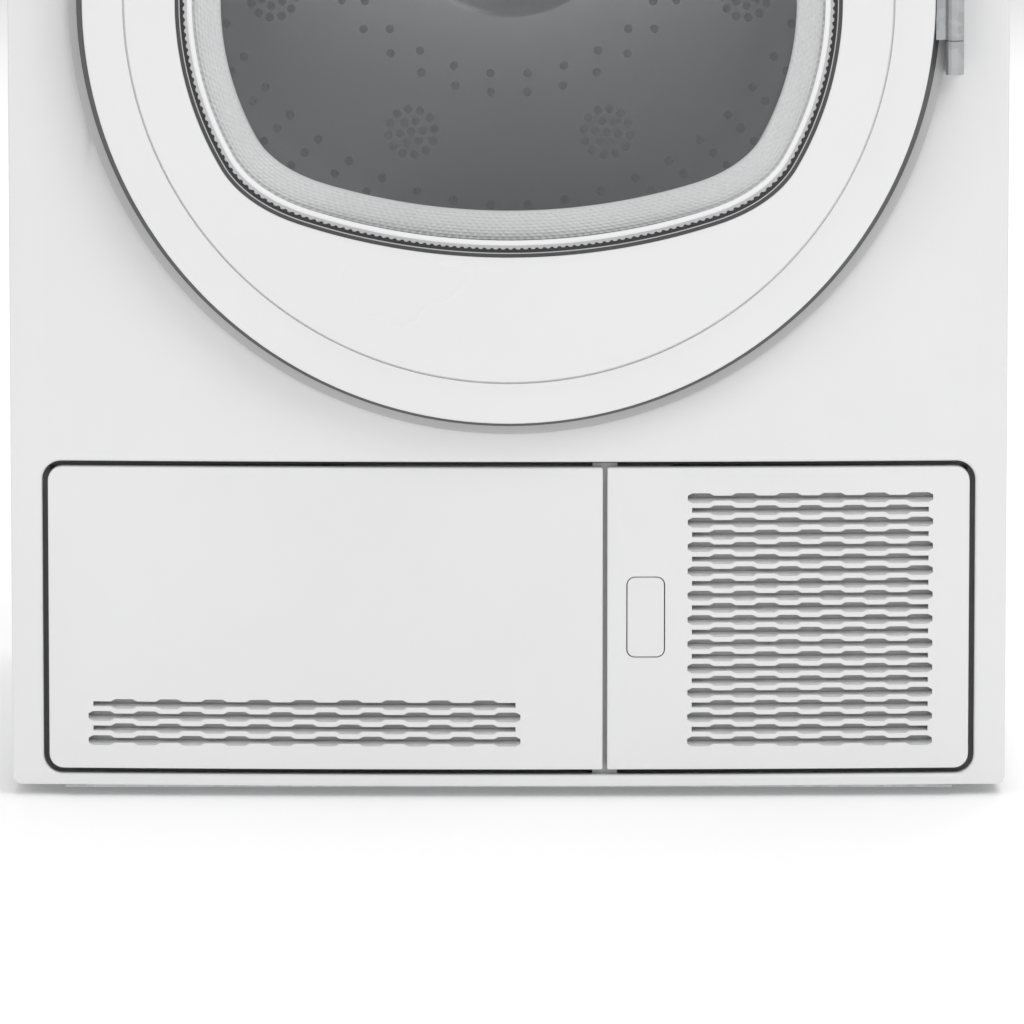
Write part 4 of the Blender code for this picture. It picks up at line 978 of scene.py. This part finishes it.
sheet = {"z": (0.012, 0.8275), "sideY": (-0.2635, 0.292), "edge": 0.0012, "fold": 0.010, "thickness": 0.0008,
         "fieldInset": 0.055, "fieldRadius": 0.030, "fieldDepth": 0.0022, "fieldSlope": 0.008}
backPanel = {"x": 0.293, "y": 0.2935, "holes": ((0.0, 0.492, 0.0222), (-0.135, 0.105, 0.062)),
             "slotX": (-0.225, -0.125), "slotZ": (0.060, 0.075, 0.090, 0.105, 0.120, 0.135)}
ductCover = {"radius": 0.215, "right": -0.055, "low": 0.045, "y": (0.2940, 0.3200), "edge": 0.005,
             "sheet": 0.0010, "flange": 0.009}


def turnSheet(bm, degrees):
    turn = Matrix.Rotation(math.radians(degrees), 3, "Z")
    bmesh.ops.rotate(bm, verts=bm.verts, cent=(0, 0, 0), matrix=turn)


def pressedField(bm, x, z, y):
    # a shallow pressed field with rounded corners; gives back its outer rim
    inset, slope, depth = sheet["fieldInset"], sheet["fieldSlope"], sheet["fieldDepth"]
    low = (x[0] + inset, x[1] - inset)
    high = (z[0] + inset, z[1] - inset)
    radii = [sheet["fieldRadius"]] * 4
    loops = []
    for share, sink in ((0.0, 0.0), (0.15, 0.08), (0.5, 0.5), (0.85, 0.92), (1.0, 1.0)):
        loops.append(loopOfEdges(bm, roundedOutline(low, high, radii, -slope * share, 8), y + depth * sink))
    bridge(bm, loops)
    return loops[0], loops[-1]


def buildSide(name, node, degrees):
    sign = 1 if degrees > 0 else -1
    x = tuple(sorted((sign * sheet["sideY"][0], sign * sheet["sideY"][1])))
    y = -halfWidth
    bm = bmesh.new()
    rim, _ = rolledEdge(bm, lambda grow: roundedOutline(x, sheet["z"], [0.0015] * 4, -grow, 3), sheet["edge"],
                        sheet["fold"], y)
    outer, inner = pressedField(bm, x, sheet["z"], y)
    fillFlat(bm, rim + outer, (0, -1, 0))
    fillFlat(bm, inner, (0, -1, 0))
    turnSheet(bm, degrees)
    piece = addPiece(name, bm, made["enamel"], "root", [node], smooth=40)
    thicken(piece, sheet["thickness"])


def ductOutline(grow, steps=64):
    radius = ductCover["radius"] + grow
    left, right = -radius, ductCover["right"] + grow
    end = -math.degrees(math.acos(right / radius))
    low = ductCover["low"] - grow
    corner = 0.012
    outline = arcPoints((0, drumZ), radius, 180, end, steps)
    outline += arcPoints((right - corner, low + corner), corner, 0, -90, 6)
    outline += arcPoints((left + corner, low + corner), corner, -90, -180, 6)
    return [(-x, z) for x, z in outline]


def addScrew(bm, x, y, z, radius=0.0036):
    # a pan-head screw with a crossed recess, standing off a face that looks towards +y
    profile = [(0, y + 0.0021), (radius * 0.55, y + 0.0020), (radius * 0.9, y + 0.0013), (radius, y),
               (0, y - 0.0008)]
    spinProfile(bm, profile, (x, 0, z), 20, closed=False)
    for turn in (0, 90):
        slot = radius * 0.62
        wide = 0.0004
        xs = (x - slot, x + slot) if turn else (x - wide, x + wide)
        zs = (z - wide, z + wide) if turn else (z - slot, z + slot)
        addBlock(bm, xs, (y + 0.0019, y + 0.00225), zs)


def buildBack():
    x = (-backPanel["x"], backPanel["x"])
    bm = bmesh.new()
    y = -backPanel["y"]
    rim, _ = rolledEdge(bm, lambda grow: roundedOutline(x, sheet["z"], [0.002] * 4, -grow, 3),
                        0.0006, 0.0012, y)
    edges = list(rim)
    for holeX, holeZ, radius in backPanel["holes"]:
        edges += loopOfEdges(bm, circleOutline((-holeX, holeZ), radius, 48), y)
    for i in range(8):
        angle = math.radians(22.5 + 45 * i)
        centre = (0.165 * math.cos(angle), drumZ + 0.165 * math.sin(angle))
        edges += loopOfEdges(bm, circleOutline(centre, 0.020, 32), y)
    for low in backPanel["slotZ"]:
        shape = roundedOutline(backPanel["slotX"], (low, low + 0.006), [0.0028] * 4, 0, 4)
        edges += loopOfEdges(bm, shape, y)
    fillFlat(bm, edges, (0, -1, 0))
    turnSheet(bm, 180)
    addPiece("backPanel", bm, made["zincSteel"], "root", ["back_panel"], smooth=40)

    bm = bmesh.new()
    front, back = ductCover["y"]
    rim, rear = rolledEdge(bm, lambda grow: ductOutline(-grow), ductCover["edge"], back - front, -back, 5)
    loops = [ductOutline(-0.022), ductOutline(-0.026), ductOutline(-0.034), ductOutline(-0.038)]
    levels = (-back, -back + 0.0028, -back + 0.0030, -back)
    beads = [loopOfEdges(bm, outline, level) for outline, level in zip(loops, levels)]
    fillFlat(bm, rim + beads[0], (0, -1, 0))
    bridge(bm, beads)
    hub = [loopOfEdges(bm, circleOutline((0, drumZ), radius, 64), level) for radius, level in
           ((0.090, -back), (0.086, -back + 0.0028), (0.040, -back + 0.0030), (0.036, -back))]
    fillFlat(bm, beads[-1] + hub[0], (0, -1, 0))
    bridge(bm, hub)
    fillFlat(bm, hub[-1], (0, -1, 0))
    turnSheet(bm, 180)
    cover = addPiece("rearDuctCover", bm, made["zincSteel"], "root", ["rear_duct_cover"],
                     smooth=40)
    thicken(cover, ductCover["sheet"])

    bm = bmesh.new()
    flangeOut = loopOfEdges(bm, ductOutline(ductCover["flange"]), -0.2947)
    flangeIn = loopOfEdges(bm, ductOutline(0.0), -0.2947)
    fillFlat(bm, flangeOut + flangeIn, (0, -1, 0))
    turnSheet(bm, 180)
    flange = addPiece("rearDuctFlange", bm, made["zincSteel"], "root", smooth=40)
    thicken(flange, 0.0008)
    bm = bmesh.new()
    places = ductOutline(ductCover["flange"] / 2, 60)
    for i in range(0, len(places), 8):
        addScrew(bm, -places[i][0], 0.2947, places[i][1])
    for z in (0.03, 0.22, 0.42, 0.62, 0.80):
        for px in (-0.286, 0.286):
            addScrew(bm, px, 0.2935, z)
    for px in (-0.18, 0.0, 0.18):
        addScrew(bm, px, 0.2935, 0.8205)
    addPiece("backScrews", bm, made["darkSteel"], "root", smooth=40)

    bm = bmesh.new()
    profile = [(0.0045, 0.2938), (0.0125, 0.2938), (0.0130, 0.2943), (0.0130, 0.2968), (0.0120, 0.2975),
               (0.0095, 0.2975), (0.0095, 0.3040), (0.0080, 0.3060), (0.0050, 0.3060), (0.0045, 0.3055)]
    spinProfile(bm, profile, (0.240, 0, 0.780), 32)
    addPiece("cableGland", bm, made["blackPlastic"], "root", ["cable_gland"], smooth=30)


buildSide("rightSidePanel", "right_side_panel", 90)
buildSide("leftSidePanel", "left_side_panel", -90)
buildBack()
print("outer sheets")


# drum, its supports and the mouth

drum = {"radius": 0.2808, "wall": 0.0008, "front": -0.2220, "rear": 0.2660, "sides": 144, "bead": 0.0022,
        "backY": (0.2632, 0.2643), "holeRadius": 0.0028, "airReach": 0.165}
paddle = {"root": 0.032, "low": 0.2762, "high": 0.2265, "y": (-0.1950, 0.2550),
          "rise": [(0.0, 0.02), (0.004, 0.35), (0.014, 0.72), (0.034, 0.93), (0.060, 1.0)]}
mouth = {"inner": 0.2117, "outer": 0.2143, "front": -0.2862, "rear": -0.2388}


def buildDrum():
    bm = bmesh.new()
    outer, inner = drum["radius"], drum["radius"] - drum["wall"]
    lip = 0.0035
    profile = []
    steps = 120
    length = drum["rear"] - drum["front"]
    for i in range(steps + 1):
        share = i / steps
        y = drum["front"] + length * share
        sink = 0.0
        for middle in (0.14, 0.38, 0.62, 0.86):
            sink += drum["bead"] * math.exp(-((share - middle) / 0.012) ** 2)
        profile.append((outer - sink, y))
    inside = [(radius - drum["wall"], y) for radius, y in reversed(profile)]
    spinProfile(bm, profile + inside, (0, 0, drumZ), drum["sides"])
    addPiece("drumShell", bm, made["drumSteel"], "drum", ["drum_shell"], smooth=40)

    bm = bmesh.new()
    front, back = drum["backY"]
    rim = 0.2790
    outline = circleOutline((0, drumZ), rim, drum["sides"])
    frontEdges = loopOfEdges(bm, outline, front)
    backEdges = loopOfEdges(bm, outline, back)
    bridge(bm, [frontEdges, backEdges])
    holes = []
    for ring, count in ((0.115, 30), (0.127, 34), (0.200, 52), (0.212, 56), (0.224, 60), (0.236, 64)):
        for i in range(count):
            angle = math.tau * (i + 0.5 * (count % 8 == 4)) / count
            holes.append((ring * math.cos(angle), drumZ + ring * math.sin(angle)))
    for i in range(8):
        # clusters of small holes where the hot air comes in
        angle = math.radians(22.5 + 45 * i)
        cx, cz = drum["airReach"] * math.cos(angle), drumZ + drum["airReach"] * math.sin(angle)
        holes.append((cx, cz))
        for ring, count in ((0.0075, 6), (0.0150, 12)):
            for j in range(count):
                turn = math.tau * j / count + angle
                holes.append((cx + ring * math.cos(turn), cz + ring * math.sin(turn)))
    for hole in holes:
        shape = circleOutline(hole, drum["holeRadius"], 10)
        pair = [loopOfEdges(bm, shape, front), loopOfEdges(bm, shape, back)]
        bridge(bm, pair)
        frontEdges += pair[0]
        backEdges += pair[1]
    fillFlat(bm, frontEdges, (0, -1, 0))
    fillFlat(bm, backEdges, (0, 1, 0))
    addPiece("drumBack", bm, made["drumSteel"], "drum", ["drum_back"], smooth=30)
    bm = bmesh.new()
    spinProfile(bm, [(0, 0.2642), (0.060, 0.2642), (0.058, 0.2665), (0.032, 0.2670), (0.024, 0.2800),
                     (0.0100, 0.2802), (0.0100, 0.2980), (0.0090, 0.2985), (0, 0.2985)], (0, 0, drumZ), 48,
                closed=False)
    addPiece("drumHub", bm, made["darkSteel"], "drum", smooth=35)
    bm = bmesh.new()
    spinProfile(bm, [(0, 0.2610), (0.050, 0.2612), (0.072, 0.2618), (0.078, 0.2630), (0.078, 0.2633),
                     (0, 0.2633)], (0, 0, drumZ), 64, closed=False)
    addPiece("drumBoss", bm, made["drumSteel"], "drum", smooth=35)


def buildPaddles():
    first, last = paddle["y"]
    root, tall = paddle["root"], paddle["low"] - paddle["high"]
    for index in range(3):
        turn = math.radians(180 + 120 * index)
        bm = bmesh.new()
        rings = []
        fall = [(last - first - offset, share) for offset, share in paddle["rise"][::-1]]
        for offset, share in paddle["rise"] + fall:
            shape = [(root, paddle["low"]), (-root, paddle["low"])]
            for i in range(13):
                along = -1 + i / 6
                bell = math.exp(-(along * 1.9) ** 2)
                shape.append((along * root * 0.985, paddle["low"] - 0.0004 - (tall * share - 0.0004) * bell))
            rings.append([(x * math.cos(turn) - reach * math.sin(turn), first + offset,
                           drumZ + x * math.sin(turn) + reach * math.cos(turn)) for x, reach in shape])
        loft(bm, rings)
        addPiece("drumPaddle%d" % (index + 1), bm, made["greyPlastic"], "drum",
                 ["drum_paddle_%d" % (index + 1)], smooth=50)


def buildMouth():
    bm = bmesh.new()
    profile = [(mouth["inner"], mouth["front"] + 0.002), (mouth["inner"] + 0.0008, mouth["front"]),
               (mouth["outer"] - 0.0004, mouth["front"]), (mouth["outer"], mouth["front"] + 0.001)]
    profile += [(mouth["outer"], mouth["rear"]), (mouth["inner"], mouth["rear"])]
    spinProfile(bm, profile, doorCentre, 144)
    ring = addPiece("mouthRing", bm, made["whitePlastic"], "root", ["mouth_ring"], smooth=35)
    cutter = bmesh.new()
    addBlock(cutter, (-0.0975, 0.0975), (-0.2625, -0.2436), (0.20, 0.31))
    carve(ring, cutter)
    bm = bmesh.new()
    x, y, z = (-0.0985, 0.0985), (-0.2632, -0.2428), (0.190, 0.279)
    wall = 0.0015
    addBlock(bm, (x[0], x[0] + wall), y, z)
    addBlock(bm, (x[1] - wall, x[1]), y, z)
    addBlock(bm, x, (y[0], y[0] + wall), (z[0], 0.266))
    addBlock(bm, x, (y[1] - wall, y[1]), (z[0], 0.266))
    addBlock(bm, x, y, (z[0], z[0] + wall))
    addPiece("filterPocket", bm, made["whitePlastic"], "root")


lint = {"x": (-0.0943, 0.0943), "y": (-0.2600, -0.2460), "z": (0.200, 0.262), "bar": 0.0018}


def buildLintFilter():
    bm = bmesh.new()
    x, y, z = lint["x"], lint["y"], lint["z"]
    for face in (y[0], y[1] - lint["bar"]):
        depth = (face, face + lint["bar"])
        addBlock(bm, x, depth, (z[0], z[0] + 0.004), 0.0003, 1)
        addBlock(bm, x, depth, (z[1] - 0.004, z[1]), 0.0003, 1)
        for i in range(7):
            middle = x[0] + 0.002 + (x[1] - x[0] - 0.004) * i / 6
            addBlock(bm, (middle - 0.002, middle + 0.002), depth, z, 0.0003, 1)
    addBlock(bm, x, (y[0], y[1]), (z[0], z[0] + 0.0018), 0.0003, 1)
    for low in (x[0], x[1] - 0.002):
        addBlock(bm, (low, low + 0.002), y, z, 0.0003, 1)
    steps = 24
    top, under = [], []
    for i in range(steps + 1):
        px = x[0] + (x[1] - x[0]) * i / steps
        curve = doorZ - math.sqrt(0.2122 ** 2 - px ** 2)
        top.append((px, curve - 0.0006))
        under.append((px, max(z[1] - 0.003, curve - 0.004)))
    plan = top + under[::-1]
    front = loopOfEdges(bm, plan, y[0])
    back = loopOfEdges(bm, plan, y[1])
    bridge(bm, [front, back])
    fillFlat(bm, front, (0, -1, 0))
    fillFlat(bm, back, (0, 1, 0))
    addPiece("lintFilterFrame", bm, made["greyPlastic"], "filter", ["lint_filter"], smooth=30)
    bm = bmesh.new()
    for face in (y[0] + 0.0007, y[1] - 0.0011):
        for i in range(1, 62):
            px = x[0] + (x[1] - x[0]) * i / 62
            addBlock(bm, (px - 0.00025, px + 0.00025), (face, face + 0.0003), z)
        for i in range(1, 20):
            pz = z[0] + (z[1] - z[0]) * i / 20
            addBlock(bm, x, (face + 0.0001, face + 0.0004), (pz - 0.00025, pz + 0.00025))
    addPiece("lintMesh", bm, made["beadWhite"], "filter", smooth=20)
    bm = bmesh.new()
    addBlock(bm, (-0.018, 0.018), (-0.2560, -0.2500), (0.2690, 0.2700), 0.0004, 1)
    addPiece("lintGrip", bm, made["gripBlue"], "filter", smooth=30)


tyreProfile = [(0.0215, -0.2150), (0.0262, -0.2150), (0.0274, -0.2138), (0.0275, -0.2110),
               (0.0275, -0.2030), (0.0274, -0.2002), (0.0262, -0.1990), (0.0215, -0.1990)]


def buildSupports():
    for side, name, node in ((-1, "supportRollerLeft", "support_roller_left"),
                             (1, "supportRollerRight", "support_roller_right")):
        low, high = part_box(node)
        centre = ((low[0] + high[0]) / 2, 0, (low[2] + high[2]) / 2)
        body = "roller_left" if side < 0 else "roller_right"
        bm = bmesh.new()
        spinProfile(bm, tyreProfile, centre, 64)
        addPiece(name, bm, made["rubber"], body, [node], smooth=40)
        bm = bmesh.new()
        spinProfile(bm, [(0.0052, -0.2160), (0.0095, -0.2160), (0.0095, -0.2120), (0.0180, -0.2105),
                         (0.0190, -0.2150), (0.0215, -0.2150), (0.0215, -0.1990), (0.0190, -0.1990),
                         (0.0180, -0.2035), (0.0095, -0.2020), (0.0095, -0.1980), (0.0052, -0.1980)],
                    centre, 48)
        addPiece(name + "Core", bm, made["greyPlastic"], body, smooth=35)
    bm = bmesh.new()
    spinProfile(bm, [(0.2650, -0.2158), (0.2665, -0.2160), (0.2770, -0.2160), (0.2788, -0.2140),
                     (0.2788, -0.2080), (0.2770, -0.2062), (0.2665, -0.2060), (0.2650, -0.2064)],
                (0, 0, drumZ), 144)
    addPiece("drumFrontFelt", bm, made["felt"], "root", ["drum_front_felt"], smooth=50)


buildDrum()
buildPaddles()
buildMouth()
buildLintFilter()
buildSupports()
print("drum and mouth")


# drive, fan and condenser

motor = {"x": -0.135, "z": 0.105, "radius": 0.0550, "y": (0.0200, 0.1300)}
fan = {"outer": 0.0698, "inner": 0.044, "blades": 32, "bladeHalf": 0.0004, "y": (0.2252, 0.2748)}


def buildDrive():
    bm = bmesh.new()
    centre = (motor["x"], 0, motor["z"])
    low, high = motor["y"]
    spinProfile(bm, [(0.0072, low), (0.020, low), (0.024, low + 0.006), (0.046, low + 0.010),
                     (0.0500, low + 0.014), (0.0500, low + 0.034), (0.0550, low + 0.036),
                     (0.0550, high - 0.036), (0.0500, high - 0.034), (0.0500, high - 0.014),
                     (0.046, high - 0.010), (0.024, high - 0.006), (0.020, high), (0.0072, high)], centre, 64)
    for i in range(8):
        angle = math.tau * (i + 0.5) / 8
        px = motor["x"] + 0.0525 * math.cos(angle)
        pz = motor["z"] + 0.0525 * math.sin(angle)
        addPin(bm, (px, low + 0.030, pz), (px, high - 0.030, pz), 0.0024, 12)
    addBlock(bm, (motor["x"] - 0.045, motor["x"] + 0.045), (0.030, 0.120), (0.0090, 0.0130), 0.001, 2)
    for y in (0.034, 0.110):
        addBlock(bm, (motor["x"] - 0.034, motor["x"] + 0.034), (y, y + 0.006), (0.012, 0.060), 0.001, 2)
    addPiece("motorBody", bm, made["motorIron"], "root", ["motor_body"], smooth=35)
    bm = bmesh.new()
    for y in (low + 0.012, high - 0.028):
        spinProfile(bm, [(0.036, y), (0.0495, y + 0.001), (0.0512, y + 0.008), (0.0495, y + 0.015),
                         (0.036, y + 0.016)], centre, 48)
    addPiece("motorWindings", bm, made["copper"], "root", smooth=60)

    bm = bmesh.new()
    count = fan["blades"]
    bend = ((fan["inner"], 0.0), ((fan["inner"] + fan["outer"]) / 2, 0.28), (fan["outer"] - 0.001, 0.70))
    for i in range(count):
        blade = []
        for side, points in ((-1, bend), (1, bend[::-1])):
            for reach, turn in points:
                angle = math.tau * (i + turn) / count + side * fan["bladeHalf"] / reach
                blade.append((motor["x"] + reach * math.cos(angle), motor["z"] + reach * math.sin(angle)))
        loft(bm, [[(px, y, pz) for px, pz in blade] for y in fan["y"]])
    y0, y1 = fan["y"]
    spinProfile(bm, [(fan["inner"] - 0.001, y0), (fan["outer"], y0), (fan["outer"], y0 + 0.0015),
                     (fan["inner"] - 0.001, y0 + 0.0015)], centre, 64)
    spinProfile(bm, [(0.0066, y1 - 0.022), (0.012, y1 - 0.022), (0.014, y1 - 0.006), (0.030, y1 - 0.003),
                     (fan["outer"], y1 - 0.0016), (fan["outer"], y1), (0.0066, y1)], centre, 64)
    addPiece("processFan", bm, made["blackPlastic"], "motor_rotor", ["process_fan"],
             smooth=35)


def buildCondenser():
    bm = bmesh.new()
    low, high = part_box("condenser_core")
    x = (low[0], high[0])
    y = (low[1], high[1])
    z = (low[2], high[2])
    channels = 8
    pitch = (z[1] - z[0]) / channels
    for i in range(channels + 1):
        level = z[0] + pitch * i
        addBlock(bm, x, y, (max(z[0], level - 0.0011), min(z[1], level + 0.0011)))
    for side in (x[0], x[1] - 0.002):
        addBlock(bm, (side, side + 0.002), y, z)
    addPiece("condenserCore", bm, made["finAluminium"], "root", ["condenser_core"], smooth=30)
    bm = bmesh.new()
    for i in range(channels):
        bottom = z[0] + pitch * i + 0.0011
        top = bottom + pitch - 0.0022
        waves = 58
        points = []
        for j in range(waves + 1):
            px = x[0] + 0.003 + (x[1] - x[0] - 0.006) * j / waves
            points.append((px, bottom + 0.0002 if j % 2 == 0 else top - 0.0002))
        line = [bm.verts.new((px, y[0] + 0.001, pz)) for px, pz in points]
        folds = [bm.edges.new(pair) for pair in zip(line, line[1:])]
        grown = bmesh.ops.extrude_edge_only(bm, edges=folds)
        lifted = [item for item in grown["geom"] if isinstance(item, bmesh.types.BMVert)]
        bmesh.ops.translate(bm, verts=lifted, vec=(0, y[1] - y[0] - 0.002, 0))
    fins = addPiece("condenserFins", bm, made["finAluminium"], "root", smooth=20, recalc=False)
    thicken(fins, 0.00025, 0)

    for number, heading in ((1, -1), (2, 1)):
        node = "condenser_lever_%d" % number
        low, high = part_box(node)
        bm = bmesh.new()
        pivotX = 0.083 if number == 1 else 0.255
        ends = ((pivotX, 0.0058), (pivotX + heading * 0.018, 0.0038))
        outline = []
        angle = 90 if heading > 0 else -90
        outline += arcPoints((ends[0][0], 0.150), ends[0][1], angle, angle + 180, 12)
        outline += arcPoints((ends[1][0], 0.150), ends[1][1], angle + 180, angle + 360, 10)
        edges = loopOfEdges(bm, outline, -0.2490)
        rear = loopOfEdges(bm, outline, -0.2452)
        bridge(bm, [edges, rear])
        fillFlat(bm, edges, (0, -1, 0))
        fillFlat(bm, rear, (0, 1, 0))
        addPin(bm, (pivotX, -0.2495, 0.150), (pivotX, -0.2450, 0.150), 0.0032, 20, 0.0004)
        addBlock(bm, sorted((pivotX + heading * 0.008, pivotX + heading * 0.0205)), (-0.2495, -0.2470),
                 (0.1488, 0.1512), 0.0004, 1)
        addPiece("condenserLever%d" % number, bm, made["gripBlue"], "lever_%d" % number, [node],
                 smooth=35)


def buildBoard():
    bm = bmesh.new()
    low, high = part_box("control_board")
    addBlock(bm, (low[0], high[0]), (low[1], high[1]), (low[2], high[2]), 0.0002, 1)
    addPiece("controlBoard", bm, made["circuitBoard"], "root", ["control_board"])
    bm = bmesh.new()
    rear = high[1]
    for px, pz, wide, tall, deep in ((0.00, 0.800, 0.020, 0.016, 0.015), (0.03, 0.800, 0.020, 0.016, 0.015),
                                     (0.06, 0.800, 0.020, 0.016, 0.015), (0.10, 0.790, 0.012, 0.012, 0.003),
                                     (0.14, 0.765, 0.040, 0.008, 0.009), (0.20, 0.765, 0.030, 0.008, 0.009),
                                     (0.24, 0.800, 0.026, 0.020, 0.018)):
        addBlock(bm, (px - wide / 2, px + wide / 2), (rear, rear + deep),
                 (pz - tall / 2, pz + tall / 2), 0.0005, 1)
    addPiece("boardParts", bm, made["blackPlastic"], "root")
    bm = bmesh.new()
    for px, pz in ((0.115, 0.805), (0.130, 0.805), (0.165, 0.790), (0.180, 0.790), (0.195, 0.790)):
        addPin(bm, (px, rear, pz), (px, rear + 0.016, pz), 0.0050, 20, 0.0005)
    addPiece("boardCapacitors", bm, made["zincSteel"], "root")


def buildTank():
    bm = bmesh.new()
    x, y, z = (-0.2840, -0.0540), (-0.2622, 0.1650), (0.7805, 0.8250)
    addBlock(bm, x, y, z, 0.004, 4)
    tank = addPiece("tankBody", bm, made["whitePlastic"], "water_tank", ["tank_body"],
                    smooth=35)
    cutter = bmesh.new()
    wall = 0.0025
    addBlock(cutter, (x[0] + wall, x[1] - wall), (y[0] + wall, y[1] - wall), (z[0] + wall, z[1] + 0.02))
    carve(tank, cutter)


def buildFeet():
    for index in range(4):
        node = "levelling_foot_%d" % (index + 1)
        low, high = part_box(node)
        centre = ((low[0] + high[0]) / 2, (low[1] + high[1]) / 2, 0)
        bm = bmesh.new()
        spinProfile(bm, [(0, 0), (0.0195, 0), (0.0210, 0.0012), (0.0210, 0.0030), (0.0190, 0.0042),
                         (0.0100, 0.0048), (0.0095, 0.0060), (0, 0.0060)], centre, 48, "z", closed=False)
        addPiece("levellingFoot%d" % (index + 1), bm, made["blackPlastic"], "foot_%d" % (index + 1),
                 [node], smooth=35)
        bm = bmesh.new()
        profile = [(0, 0.0055)]
        for i in range(9):
            level = 0.0058 + i * 0.0010
            profile += [(0.0050, level), (0.0042, level + 0.0005)]
        profile += [(0.0042, 0.0148), (0, 0.0150)]
        spinProfile(bm, profile, centre, 24, "z", closed=False)
        addPiece("footStem%d" % (index + 1), bm, made["zincSteel"], "foot_%d" % (index + 1),
                 smooth=30)


def buildBearing():
    bm = bmesh.new()
    spinProfile(bm, [(0.0105, 0.2872), (0.0130, 0.2870), (0.0145, 0.2880), (0.0175, 0.2880), (0.0190, 0.2870),
                     (0.0215, 0.2872), (0.0215, 0.2988), (0.0190, 0.2990), (0.0175, 0.2980),
                     (0.0145, 0.2980), (0.0130, 0.2990), (0.0105, 0.2988)], (0, 0, drumZ), 64)
    addPiece("rearBearing", bm, made["darkSteel"], "root", ["rear_bearing"], smooth=35)
    bm = bmesh.new()
    spinProfile(bm, [(0.130 + r, 0.3070 + y) for r, y in arcPoints((0, 0), 0.004, 0, 330, 11)],
                (0, 0, drumZ), 96)
    addPiece("heaterElement", bm, made["darkSteel"], "root", ["heater_element"], smooth=60)


buildDrive()
buildCondenser()
buildBoard()
buildTank()
buildFeet()
buildBearing()
print("inside parts")


# the rest of the CAD nodes keep their shape and get their finish

finishOfSlot = {"enamel": "enamel", "worktop": "worktopLaminate", "white_plastic": "whitePlastic",
                "zinc_steel": "zincSteel", "drum_steel": "drumSteel", "grey_plastic": "greyPlastic",
                "black_plastic": "blackPlastic", "grip_blue": "gripBlue", "rubber": "rubber", "felt": "felt",
                "exchanger": "finAluminium", "motor_iron": "motorIron", "heater_steel": "darkSteel",
                "circuit_board": "circuitBoard", "door_glass": "bowlGlass", "smoked_window": "windowPane"}


def dressNodes():
    slots = {row["node"]: row["material_slot"] for row in frame["record"]["subparts"]}
    for node, obj in frame["nodes"].items():
        finish = made[finishOfSlot[slots[node]]]
        obj.data.materials.clear()
        obj.data.materials.append(finish)


dressNodes()
print("node finishes")
